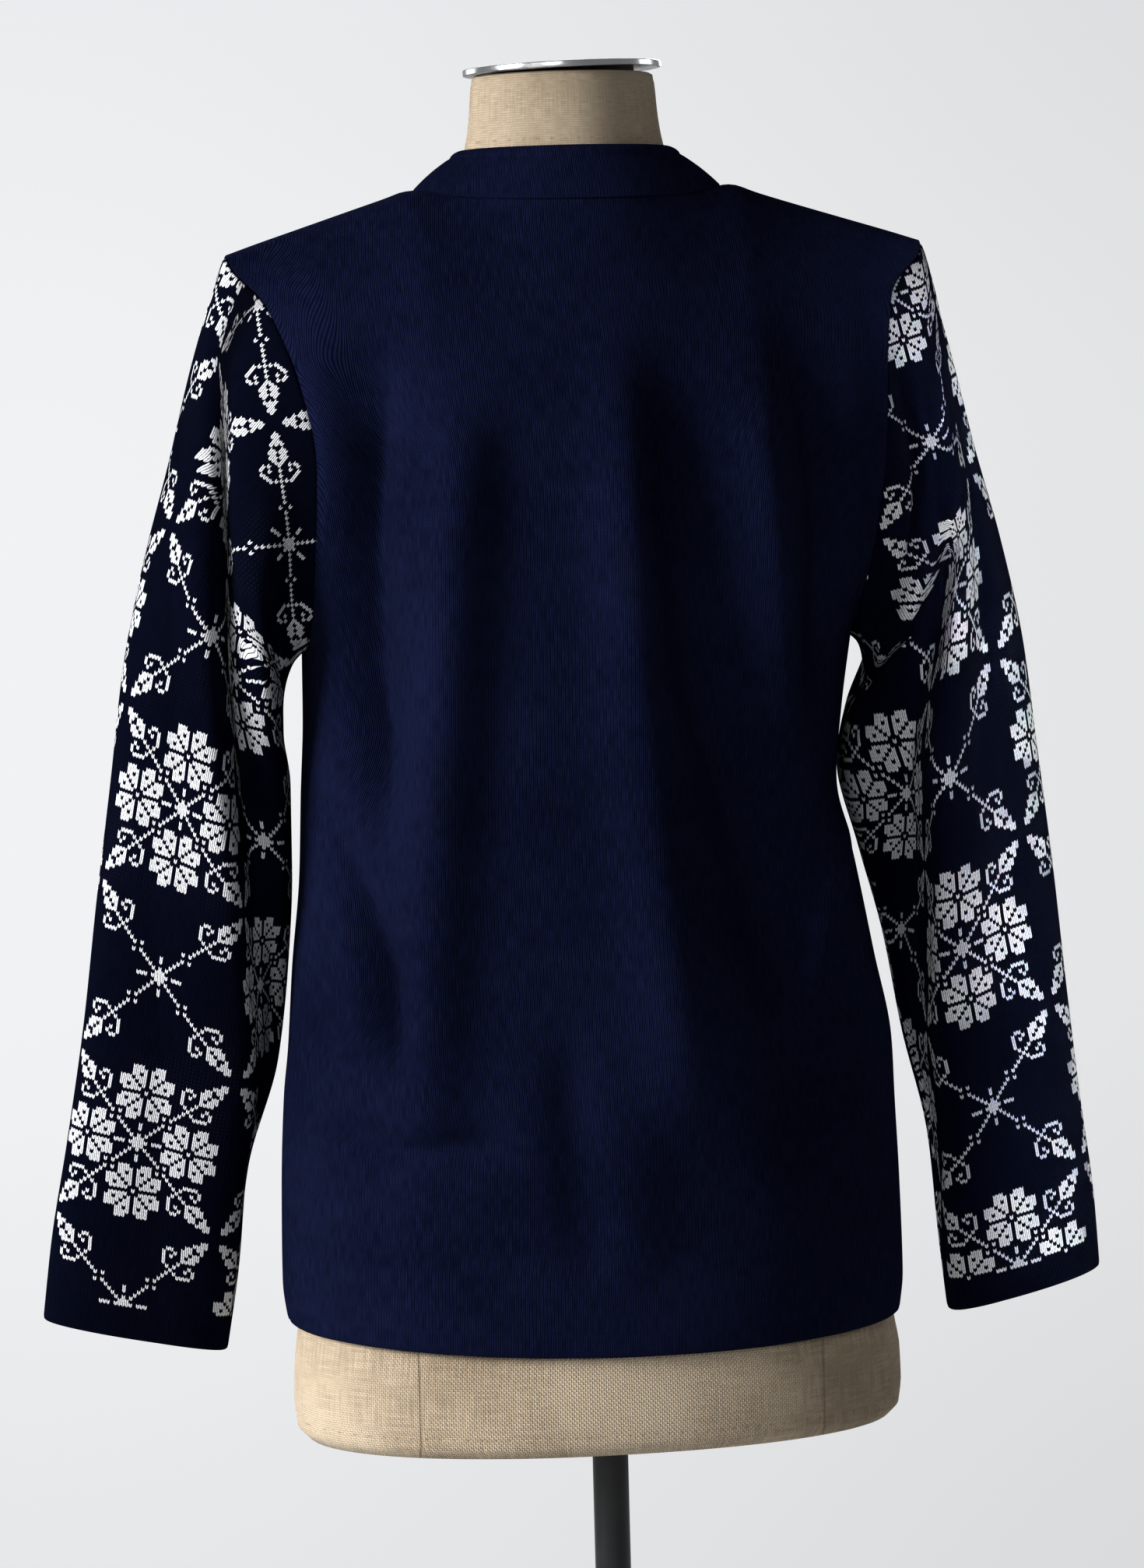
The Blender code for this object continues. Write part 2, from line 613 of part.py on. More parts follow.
def turned(name, profile, steps):
    """A profile of radius and height, top to bottom, turned about Z."""
    mesh = bpy.data.meshes.new(name)
    edges = [(i, i + 1) for i in range(len(profile) - 1)]
    mesh.from_pydata([(r, 0.0, z) for r, z in profile], edges, [])
    obj = bpy.data.objects.new(name, mesh)
    bpy.context.scene.collection.objects.link(obj)
    screw = obj.modifiers.new("Turn", "SCREW")
    screw.steps = steps
    screw.render_steps = steps
    screw.use_merge_vertices = True
    screw.merge_threshold = 0.0001
    return obj


def build_stand(collection, surface):
    pole_low = BASE_THICK + SEAM
    pole_high = FORM[0].z - SEAM
    bpy.ops.mesh.primitive_cylinder_add(
        vertices=24,
        radius=POLE_RADIUS,
        depth=pole_high - pole_low,
        location=(0.0, 0.0, (pole_low + pole_high) / 2),
    )
    pole = bpy.context.object
    pole.name = "pole"
    finish(pole, collection, surface)
    profile = [
        (0.0, BASE_THICK),
        (BASE_RADIUS - BASE_EDGE, BASE_THICK),
        (BASE_RADIUS - BASE_EDGE * 0.3, BASE_THICK - BASE_EDGE * 0.3),
        (BASE_RADIUS, BASE_THICK - BASE_EDGE),
        (BASE_RADIUS, 0.0),
        (0.0, 0.0),
    ]
    finish(turned("base_plate", profile, 40), collection, surface)


def main():
    for obj in list(bpy.data.objects):
        bpy.data.objects.remove(obj)
    collection = bpy.data.collections.new("Cardigan on a dress form")
    bpy.context.scene.collection.children.link(collection)
    navy = material("Navy knit", (0.010, 0.014, 0.055), 0.85)
    jacquard = material("Navy and white jacquard knit", (0.12, 0.13, 0.20), 0.85)
    button = material("Navy button", (0.012, 0.015, 0.050), 0.35)
    linen = material("Linen cover", (0.46, 0.38, 0.28), 0.9)
    chrome = material("Chrome", (0.60, 0.60, 0.60), 0.15, 1.0)
    black = material("Black steel", (0.012, 0.014, 0.015), 0.4)
    cloth = [build_back(collection, navy)]
    for side in (1, -1):
        cloth.append(build_front(side, collection, navy))
        build_sleeve(side, collection, jacquard)
    cloth.append(build_neckband(collection, navy))
    cloth.extend(build_button_bands(collection, navy))
    build_buttons(collection, button)
    build_form(collection, linen, cloth)
    build_cap(collection, chrome)
    build_stand(collection, black)


main()
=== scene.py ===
"""Looks of a knit cardigan worn by a dress form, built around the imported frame.

Metres, +Z up. The cardigan's front faces -Y and the wearer's left is +X. Every cloth piece is a
sheet laid over its solid's inner skin, with its stitches in a UV map, and gets its wall outwards.
"""

import logging
import math
from dataclasses import dataclass, field
from enum import Enum
from typing import Callable, NamedTuple, Sequence

import bmesh
import bpy
import numpy as np
from mathutils import Matrix, Vector
from mathutils.bvhtree import BVHTree
from mathutils.geometry import intersect_point_line

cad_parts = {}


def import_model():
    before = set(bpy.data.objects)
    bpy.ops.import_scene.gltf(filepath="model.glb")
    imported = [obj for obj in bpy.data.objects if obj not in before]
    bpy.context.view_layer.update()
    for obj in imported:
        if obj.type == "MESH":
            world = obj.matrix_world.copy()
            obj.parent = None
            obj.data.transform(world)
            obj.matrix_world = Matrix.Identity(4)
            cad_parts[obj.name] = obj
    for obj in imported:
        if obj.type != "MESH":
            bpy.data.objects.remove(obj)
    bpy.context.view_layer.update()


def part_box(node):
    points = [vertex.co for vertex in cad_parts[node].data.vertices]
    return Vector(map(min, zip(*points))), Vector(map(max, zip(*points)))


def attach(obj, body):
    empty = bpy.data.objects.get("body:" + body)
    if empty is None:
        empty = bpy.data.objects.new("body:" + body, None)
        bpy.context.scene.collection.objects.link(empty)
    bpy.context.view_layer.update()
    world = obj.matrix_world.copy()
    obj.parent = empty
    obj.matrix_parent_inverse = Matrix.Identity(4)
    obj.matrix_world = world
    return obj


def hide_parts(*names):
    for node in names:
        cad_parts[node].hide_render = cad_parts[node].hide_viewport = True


LOG = logging.getLogger("cardigan")

WALL = 0.002
SEAM = 0.0003
WELD = 0.00001
HALF_STITCH = 0.5
STITCH_MAP = "Stitches"

Path = tuple[tuple[float, float], ...]
Colour = tuple[float, float, float]
Place = tuple[float, float, float]
Paint = Colour | bpy.types.NodeSocket


class Side(Enum):
    """The wearer's side, as the sign of X."""

    LEFT = 1
    RIGHT = -1


class BodyRow(NamedTuple):
    """One section of the body: inner half widths and depths at a height."""

    z: float
    left: float
    right: float
    back: float
    front: float


class ShoulderPoint(NamedTuple):
    """A point of the shoulder seam."""

    x: float
    z: float


class Fold(NamedTuple):
    """A soft crest, or with a negative height a trough, through points of x and z on the body."""

    height: float
    width: float
    path: Path
    sharp: float = 2.0

    def lift(self, here: Vector) -> float:
        """How far the fold raises the cloth at a place of x and z."""
        lengths = [math.dist(low, top) for top, low in zip(self.path, self.path[1:])]
        gap, share, passed = math.inf, 0.0, 0.0
        for top, low, length in zip(self.path, self.path[1:], lengths):
            _, along = intersect_point_line(here, Vector(top), Vector(low))
            along = min(max(along, 0.0), 1.0)
            nearest = Vector(top).lerp(Vector(low), along)
            if (here - nearest).length < gap:
                gap = (here - nearest).length
                share = (passed + along * length) / sum(lengths)
            passed += length
        if gap >= 3 * self.width:
            return 0.0
        fade = smoothstep(share, 0.0, 0.28) * (1 - smoothstep(share, 0.72, 1.0))
        return self.height * fade * math.exp(-((gap / self.width) ** self.sharp))


class SleeveRow(NamedTuple):
    """One ring of a sleeve, between its outer and inner lines."""

    z_outer: float
    x_outer: float
    z_inner: float
    x_left: float
    x_right: float
    y: float
    depth: float


class SleeveFold(NamedTuple):
    """A crease along a sleeve, through points of share of its length and angle from the outer line."""

    height: float
    width: float
    path: Path
    pressed: bool = False

    def lift(self, share: float, turn: float) -> float:
        """How far the crease raises the sleeve at a share of its length and an angle."""
        first, last = self.path[0][0], self.path[-1][0]
        ease = 0.2 * (last - first)
        fade = smoothstep(share, first - ease, first + ease)
        if last < 1:
            fade *= 1 - smoothstep(share, last - ease, last + ease)
        else:
            fade *= 1 - 0.7 * smoothstep(share, 0.78, 1.0)
        away = abs(turn - float(np.interp(share, *zip(*self.path))))
        blunt = math.hypot(away, 2.5) - 2.5
        if self.pressed:
            return self.height * fade * max(1 - blunt / self.width, 0.0)
        return self.height * fade * math.exp(-1.2 * (blunt / self.width) ** 1.5)


class SleeveDent(NamedTuple):
    """A soft dent inwards, or with a positive height a swelling, of a sleeve."""

    share: float
    angle: float
    share_reach: float
    angle_reach: float
    height: float

    def lift(self, share: float, turn: float) -> float:
        """How far the dent raises the sleeve at a share of its length and an angle."""
        along = (share - self.share) / self.share_reach
        around = (turn - self.angle) / self.angle_reach
        return self.height * math.exp(-(along ** 2 + around ** 2))


class Tuck(NamedTuple):
    """What a crease hides where it runs at a share of the length and an angle."""

    share: float
    angle: float
    stitches: float
    rows: float


class TurnedKnit(NamedTuple):
    """A patch of a sleeve where the knit lies askew: one known stitch, its place and its turn."""

    x: float
    z: float
    column: float
    row: float
    degrees: float
    stitch: float
    ends: tuple[float, float]
    crease: Path


class FormRow(NamedTuple):
    """One section of the dress form."""

    z: float
    half: float
    back: float
    front: float
    power: float


def smoothstep(value: float, low: float, high: float) -> float:
    """Ease from 0 at low to 1 at high."""
    t = min(max((value - low) / (high - low), 0.0), 1.0)
    return t * t * (3 - 2 * t)


def smooth_between(rows: Sequence[NamedTuple], key: str, value: str) -> Callable[[float], float]:
    """A monotone cubic through one column of a table.

    Args:
        rows: The table.
        key: Name of the column that is read along.
        value: Name of the column that is returned.

    Returns:
        A function of the key column's value.
    """
    points = sorted((getattr(row, key), getattr(row, value)) for row in rows)
    xs = [p[0] for p in points]
    ys = [p[1] for p in points]
    slopes = [(ys[i + 1] - ys[i]) / (xs[i + 1] - xs[i]) for i in range(len(xs) - 1)]
    tangents = [slopes[0]]
    for before, after in zip(slopes, slopes[1:]):
        tangents.append(0.0 if before * after <= 0 else 2 * before * after / (before + after))
    tangents.append(slopes[-1])

    def read(x: float) -> float:
        """Value at x, held at the table's ends."""
        if x <= xs[0]:
            return ys[0]
        if x >= xs[-1]:
            return ys[-1]
        i = next(k for k in range(len(xs) - 1) if x <= xs[k + 1])
        step = xs[i + 1] - xs[i]
        t = (x - xs[i]) / step
        return (
            ys[i] * (1 + 2 * t) * (1 - t) ** 2
            + tangents[i] * step * t * (1 - t) ** 2
            + ys[i + 1] * t * t * (3 - 2 * t)
            + tangents[i + 1] * step * t * t * (t - 1)
        )

    return read


class Signal:
    """A number that a material's nodes work out, with ordinary arithmetic."""

    def __init__(self, tree: bpy.types.NodeTree, socket: bpy.types.NodeSocket) -> None:
        """Wrap one output socket of a tree."""
        self.tree = tree
        self.socket = socket

    def math(self, operation: str, *others: "Signal | float") -> "Signal":
        """Add a Math node.

        Args:
            operation: Name of the node's operation.
            others: Its further inputs.

        Returns:
            The node's result.
        """
        node = self.tree.nodes.new("ShaderNodeMath")
        node.operation = operation
        for place, value in zip(node.inputs, (self, *others)):
            if isinstance(value, Signal):
                self.tree.links.new(value.socket, place)
            else:
                place.default_value = value
        return Signal(self.tree, node.outputs[0])

    def __add__(self, other: "Signal | float") -> "Signal":
        """Sum."""
        return self.math("ADD", other)

    def __sub__(self, other: "Signal | float") -> "Signal":
        """Difference."""
        return self.math("SUBTRACT", other)

    def __mul__(self, other: "Signal | float") -> "Signal":
        """Product."""
        return self.math("MULTIPLY", other)

    def floor(self) -> "Signal":
        """Whole part."""
        return self.math("FLOOR")

    def absolute(self) -> "Signal":
        """Size without sign."""
        return self.math("ABSOLUTE")

    def near(self, centre: "Signal | float", reach: float) -> "Signal":
        """1 within reach of the centre, else 0."""
        return self.math("COMPARE", centre, reach)

    def at_most(self, limit: float) -> "Signal":
        """1 up to the limit, else 0."""
        return self.math("LESS_THAN", limit)

    def eased(self, low: float, high: float) -> "Signal":
        """Smooth step from 0 at low to 1 at high."""
        node = self.tree.nodes.new("ShaderNodeMapRange")
        node.interpolation_type = "SMOOTHSTEP"
        self.tree.links.new(self.socket, node.inputs["Value"])
        node.inputs["From Min"].default_value = low
        node.inputs["From Max"].default_value = high
        return Signal(self.tree, node.outputs["Result"])


class Shading:
    """A new material with its Principled shader and the few nodes that every finish uses."""

    def __init__(self, name: str, roughness: float, metallic: float = 0.0) -> None:
        """Start a material.

        Args:
            name: The material's name.
            roughness: Set on the shader.
            metallic: Set on the shader.
        """
        self.material = bpy.data.materials.new(name)
        self.material.use_nodes = True
        self.tree = self.material.node_tree
        self.shader = self.tree.nodes["Principled BSDF"]
        self.shader.inputs["Roughness"].default_value = roughness
        self.shader.inputs["Metallic"].default_value = metallic

    def stitches(self) -> tuple[Signal, Signal]:
        """Stitch and row numbers from the piece's own UV map."""
        uv = self.tree.nodes.new("ShaderNodeUVMap")
        uv.uv_map = STITCH_MAP
        split = self.tree.nodes.new("ShaderNodeSeparateXYZ")
        self.tree.links.new(uv.outputs["UV"], split.inputs[0])
        return Signal(self.tree, split.outputs[0]), Signal(self.tree, split.outputs[1])

    def place(self) -> tuple[Signal, Signal, Signal]:
        """Object coordinates in metres."""
        coordinates = self.tree.nodes.new("ShaderNodeTexCoord")
        split = self.tree.nodes.new("ShaderNodeSeparateXYZ")
        self.tree.links.new(coordinates.outputs["Object"], split.inputs[0])
        return tuple(Signal(self.tree, output) for output in split.outputs)

    def noise(self, scale: float, detail: float = 3.0, along: Sequence[Signal] | None = None) -> Signal:
        """A noise from 0 to 1, on Object coordinates unless signals are given.

        Args:
            scale: Features in a metre, or in a unit of the signals.
            detail: Octaves.
            along: Up to three signals that take the coordinates' place.

        Returns:
            The noise.
        """
        node = self.tree.nodes.new("ShaderNodeTexNoise")
        node.inputs["Scale"].default_value = scale
        node.inputs["Detail"].default_value = detail
        if along is None:
            coordinates = self.tree.nodes.new("ShaderNodeTexCoord")
            self.tree.links.new(coordinates.outputs["Object"], node.inputs["Vector"])
        else:
            joined = self.tree.nodes.new("ShaderNodeCombineXYZ")
            for signal, place in zip(along, joined.inputs):
                self.tree.links.new(signal.socket, place)
            self.tree.links.new(joined.outputs[0], node.inputs["Vector"])
        return Signal(self.tree, node.outputs["Fac"])

    def blend(self, share: Signal, low: Paint, high: Paint) -> bpy.types.NodeSocket:
        """Mix two colours.

        Args:
            share: How much of the second colour.
            low: The first colour.
            high: The second colour.

        Returns:
            The mixed colour.
        """
        node = self.tree.nodes.new("ShaderNodeMix")
        node.data_type = "RGBA"
        self.tree.links.new(share.socket, node.inputs["Factor"])
        for name, colour in (("A", low), ("B", high)):
            place = next(s for s in node.inputs if s.name == name and s.type == "RGBA")
            if isinstance(colour, bpy.types.NodeSocket):
                self.tree.links.new(colour, place)
            else:
                place.default_value = (*colour, 1.0)
        return next(s for s in node.outputs if s.type == "RGBA")

    def paint(self, colour: bpy.types.NodeSocket) -> None:
        """Give the shader its colour."""
        self.tree.links.new(colour, self.shader.inputs["Base Color"])

    def relief(self, height: Signal, depth: float) -> None:
        """Raise the surface by a height from 0 to 1, times a depth in metres."""
        node = self.tree.nodes.new("ShaderNodeBump")
        node.inputs["Distance"].default_value = depth
        self.tree.links.new(height.socket, node.inputs["Height"])
        self.tree.links.new(node.outputs["Normal"], self.shader.inputs["Normal"])


class Run(NamedTuple):
    """Neighbouring stitches of the chart: one step along, a first and a last across."""

    along: int
    first: int
    last: int


@dataclass(frozen=True)
class StarChart:
    """The sleeves' knitting chart, worked out from the nearest star, in stitches.

    Every motif is symmetric, so a run counts in both directions and across the diagonal.
    """

    cell: int = 46
    diamond: int = 2
    flower_at: int = 14
    dash_across: tuple[float, float] = (5.0, 1.5)
    dash_along: tuple[float, float] = (4.5, 1.0)
    inner_steps: tuple[float, float] = (4.0, 2.5)
    outer_steps: tuple[float, float] = (11.0, 3.5)
    pair: Run = Run(8, 6, 6)
    curl: tuple[Run, ...] = (
        Run(13, 11, 11), Run(14, 10, 10), Run(15, 10, 10), Run(16, 10, 10), Run(17, 10, 10),
        Run(18, 11, 12), Run(17, 13, 13), Run(16, 12, 12),
    )
    leaf: tuple[Run, ...] = (
        Run(15, 15, 15), Run(16, 15, 15), Run(17, 15, 16), Run(18, 15, 17), Run(19, 16, 17),
        Run(19, 19, 19), Run(20, 18, 20), Run(21, 20, 21),
    )
    petal: tuple[Run, ...] = (
        Run(0, 0, 0), Run(2, 1, 1), Run(3, 1, 2), Run(4, 1, 3), Run(5, 1, 1), Run(5, 3, 4),
        Run(6, 1, 4), Run(7, 2, 4),
    )

    @staticmethod
    def runs(along: Signal, across: Signal, table: Sequence[Run]) -> Signal:
        """1 on the stitches of a table of runs."""
        total = None
        for run in table:
            middle = (run.first + run.last) / 2
            reach = (run.last - run.first + 1) / 2
            here = along.near(float(run.along), HALF_STITCH) * across.near(middle, reach)
            total = here if total is None else total + here
        return total

    def white(self, column: Signal, row: Signal) -> Signal:
        """1 where a stitch is white.

        Args:
            column: The stitch's whole number across.
            row: Its whole number along.

        Returns:
            The chart's value there.
        """
        cell = float(self.cell)
        star_x = (column * (1 / cell)).math("ROUND")
        star_y = (row * (1 / cell)).math("ROUND")
        x = (column - star_x * cell).absolute()
        y = (row - star_y * cell).absolute()
        far = x.math("MAXIMUM", y)
        close = x.math("MINIMUM", y)
        diamond = (far + close).at_most(self.diamond + HALF_STITCH)
        dash = y.near(0.0, HALF_STITCH) * x.near(*self.dash_across)
        dash = dash + x.near(0.0, HALF_STITCH) * y.near(*self.dash_along)
        diagonal = far.near(close, HALF_STITCH)
        steps = far.near(*self.inner_steps) + far.near(*self.outer_steps)
        pattern = diamond + dash + diagonal * steps + self.runs(far, close, (self.pair,))
        pattern = pattern + self.runs(far, close, self.curl) + self.runs(far, close, self.leaf)
        beside = (far - float(self.flower_at)).absolute()
        petals = self.runs(beside.math("MAXIMUM", close), beside.math("MINIMUM", close), self.petal)
        odd = (star_x + star_y).math("FLOORED_MODULO", 2.0)
        return (pattern + petals * odd.at_most(0.5)).math("MINIMUM", 1.0)


@dataclass(frozen=True)
class Knit:
    """Stocking stitches or ribs in one or two yarns, drawn from the stitch map, with painted shade in the
    valleys between stitches.
    """

    name: str
    yarn: Colour = (0.0064, 0.0093, 0.0315)
    light_yarn: Colour = (0.0150, 0.0205, 0.0660)
    # Painted shade between stitches: how much the stitch relief lightens the colour above near-black, and the
    # least it does.
    shaded: tuple[float, float] = (0.55, 0.32)
    pale: Colour = (0.84, 0.85, 0.88)
    lean: float = 1.1
    gap: float = 0.30
    depth: float = 0.0003
    hem_rows: float = 8.0
    roughness: float = 0.92
    sheen: float = 0.015
    sheen_roughness: float = 0.45
    sheen_tint: Colour = (0.55, 0.62, 0.9)
    sway: float = 0.25
    sway_scale: float = 26.0
    fuzz_scale: float = 2400.0
    tick: Colour = (0.05, 0.06, 0.10)
    # Near-black colour of the painted shade in the valleys between stitches.
    painted_stitch_shade: Colour = (0.0, 0.0, 0.002)
    chart: StarChart | None = None

    def make(self) -> bpy.types.Material:
        """Build the material."""
        shading = Shading(self.name, self.roughness)
        shader = shading.shader
        shader.inputs["Specular IOR Level"].default_value = 0.0
        shader.inputs["Sheen Weight"].default_value = self.sheen
        shader.inputs["Sheen Roughness"].default_value = self.sheen_roughness
        shader.inputs["Sheen Tint"].default_value = (*self.sheen_tint, 1.0)
        across, along = shading.stitches()
        across = across + (shading.noise(self.sway_scale, 2.0) - 0.5) * self.sway
        column = across.floor()
        slant = (across - column - 0.5).absolute()
        lift = along - slant * self.lean
        row = lift.floor()
        part = lift - row
        leg = (slant * 4.0 - 1.0).absolute()
        leg = (leg * leg * -1.0) + 1.0
        length = (part * 2.0 - 1.0).absolute()
        length = (length * length * length * -1.0) + 1.0
        valley = (slant * 2.0).math("POWER", 4.0)
        relief = leg * (length * 0.45 + 0.55) * ((valley * -self.gap) + 1.0)
        fuzz = shading.noise(self.fuzz_scale, 2.0)
        tone = shading.noise(1.0, 1.0, (column, row * 0.15)) * 0.5 + shading.noise(9.0, 3.0) * 0.5
        ground = shading.blend(tone.eased(0.3, 0.7), self.yarn, self.light_yarn)
        if self.chart is not None:
            hem = row.math("GREATER_THAN", self.hem_rows - 0.5)
            tick = slant.math("GREATER_THAN", 0.40) * part.near(0.5, 0.2)
            tick = tick * shading.noise(14.0, 2.0).eased(0.5, 0.75) * 0.5
            ground = shading.blend(tick, ground, self.tick)
            shown = self.chart.white(column, row) * hem * relief.eased(0.12, 0.30)
            ground = shading.blend(shown, ground, self.pale)
        # Painted shade: the colour falls toward near-black in the valleys between columns and legs as the
        # stitch relief drops, with a random fuzz tone mixed in. This also dims the white yarn.
        shade = relief * self.shaded[0] + fuzz * 0.25 + self.shaded[1]
        shading.paint(shading.blend(shade.math("MINIMUM", 1.0), self.painted_stitch_shade, ground))
        edge = (along - self.hem_rows).absolute().eased(0.0, 0.8)
        shading.relief((relief + fuzz * 0.12) * (edge * 0.6 + 0.4), self.depth)
        return shading.material


@dataclass(frozen=True)
class Linen:
    """Plain-weave linen with slubs, drawn from a UV map in threads, with painted shade where the threads dip.
    """

    name: str = "Linen cover"
    thread: Colour = (0.34, 0.265, 0.185)
    pale: Colour = (0.64, 0.535, 0.405)
    # Painted shade where the threads dip, and the darker seam and stitch lines.
    dark: Colour = (0.17, 0.130, 0.088)
    seam_x: float = 0.115
    seam_edge: tuple[float, float] = (0.0002, 0.0011)
    hem_z: float = 0.8030
    neck_stitch_z: float = 1.5265
    stitch_edge: tuple[float, float] = (0.0002, 0.0008)
    stitch_rate: float = 420.0
    soil_scale: float = 7.0
    depth: float = 0.0007

    def make(self) -> bpy.types.Material:
        """Build the material."""
        shading = Shading(self.name, roughness=0.9)
        shading.shader.inputs["Specular IOR Level"].default_value = 0.2
        shading.shader.inputs["Sheen Weight"].default_value = 0.08
        across, along = shading.stitches()
        warp = (across * math.pi).math("SINE").absolute()
        weft = (along * math.pi).math("SINE").absolute()
        turn = (across.floor() + along.floor()).math("FLOORED_MODULO", 2.0)
        over = warp * turn + weft * ((turn * -1.0) + 1.0)
        slub = shading.noise(1.0, 2.0, (across.floor(), along * 0.05))
        cross_slub = shading.noise(1.0, 2.0, (across * 0.05, along.floor()))
        soil = shading.noise(self.soil_scale, 4.0)
        tone = (slub * 0.5 + cross_slub * 0.5 + soil * 1.6) * 0.385
        body = shading.blend(tone.eased(0.36, 0.62), self.thread, self.pale)
        # Painted shade: the colour darkens toward dark where the weave dips between threads. The seam and
        # stitch lines darken it too.
        painted_weave_shade = over.eased(0.0, 0.55) * 0.5 + 0.5
        x, _, z = shading.place()
        seam = (x.absolute() - self.seam_x).absolute().eased(*self.seam_edge)
        stitch = (x * self.stitch_rate).math("SINE").absolute().eased(0.2, 0.5)
        rows = (z - self.hem_z).absolute().math("MINIMUM", (z - self.neck_stitch_z).absolute())
        rows = rows.eased(*self.stitch_edge).math("MAXIMUM", stitch)
        lines = seam * (rows * 0.6 + 0.4)
        shading.paint(shading.blend(painted_weave_shade * (lines * 0.45 + 0.55), self.dark, body))
        shading.relief(over * 0.45 + slub * 0.35 + lines * 0.6, self.depth)
        return shading.material


@dataclass(frozen=True)
class Metal:
    """Polished or painted metal with faint scuffs."""

    name: str
    colour: Colour
    worn: Colour
    roughness: float
    metallic: float
    coat: float = 0.0
    scuff_scale: float = 55.0
    grain_scale: float = 260.0
    grain_depth: float = 0.00004

    def make(self) -> bpy.types.Material:
        """Build the material."""
        shading = Shading(self.name, self.roughness, self.metallic)
        shading.shader.inputs["Coat Weight"].default_value = self.coat
        scuffs = shading.noise(self.scuff_scale, 6.0).eased(0.52, 0.72)
        shading.paint(shading.blend(scuffs, self.colour, self.worn))
        rough = scuffs * 0.22 + self.roughness
        shading.tree.links.new(rough.socket, shading.shader.inputs["Roughness"])
        shading.relief(shading.noise(self.grain_scale, 4.0), self.grain_depth)
        return shading.material


@dataclass(frozen=True)
class Horn:
    """Dark button plastic with a cloudy grain."""

    name: str = "Navy button"
    dark: Colour = (0.008, 0.010, 0.030)
    light: Colour = (0.030, 0.038, 0.095)

    def make(self) -> bpy.types.Material:
        """Build the material."""
        shading = Shading(self.name, roughness=0.28)
        shading.shader.inputs["Coat Weight"].default_value = 0.4
        cloud = shading.noise(140.0, 5.0)
        shading.paint(shading.blend(cloud.eased(0.35, 0.7), self.dark, self.light))
        shading.relief(shading.noise(900.0, 3.0), 0.00005)
        return shading.material


@dataclass(frozen=True)
class Thread:
    """Twisted sewing thread, and felt, which is as matt."""

    name: str
    colour: Colour

    def make(self) -> bpy.types.Material:
        """Build the material."""
        shading = Shading(self.name, roughness=0.75)
        twist = shading.noise(2200.0, 2.0)
        dark = tuple(0.45 * part for part in self.colour)
        shading.paint(shading.blend(twist.eased(0.3, 0.7), dark, self.colour))
        shading.relief(twist, 0.0001)
        return shading.material


@dataclass(frozen=True)
class StudioFloor:
    """Pale matt floor."""

    name: str = "Pale floor"
    colour: Colour = (0.62, 0.63, 0.64)

    def make(self) -> bpy.types.Material:
        """Build the material."""
        shading = Shading(self.name, roughness=0.8)
        light = tuple(min(1.0, part * 1.03) for part in self.colour)
        shading.paint(shading.blend(shading.noise(3.0), self.colour, light))
        return shading.material


@dataclass
class Finishes:
    """Every material of the scene, made once."""

    rib: bpy.types.Material = field(init=False)
    jacquard: bpy.types.Material = field(init=False)
    linen: bpy.types.Material = field(init=False)
    chrome: bpy.types.Material = field(init=False)
    black: bpy.types.Material = field(init=False)
    felt: bpy.types.Material = field(init=False)
    button: bpy.types.Material = field(init=False)
    navy_thread: bpy.types.Material = field(init=False)

    def __post_init__(self) -> None:
        """Make them."""
        # The rib's painted shade between its wales is deeper than the jacquard's.
        self.rib = Knit("Navy rib knit", gap=0.85, depth=0.0003, lean=1.3, shaded=(0.68, 0.20)).make()
        self.jacquard = Knit(
            "Navy and white jacquard knit", yarn=(0.0024, 0.0036, 0.0115),
            light_yarn=(0.0042, 0.0056, 0.0165), hem_rows=0.0, chart=StarChart(),
        ).make()
        self.linen = Linen().make()
        self.chrome = Metal("Chrome", (0.50, 0.51, 0.52), (0.40, 0.40, 0.40), 0.19, 1.0).make()
        self.black = Metal("Black steel", (0.012, 0.013, 0.014), (0.018, 0.018, 0.019), 0.32, 0.0, 0.3).make()
        self.felt = Thread("Black felt", (0.006, 0.006, 0.006)).make()
        self.button = Horn().make()
        self.navy_thread = Thread("Navy thread", (0.012, 0.016, 0.055)).make()


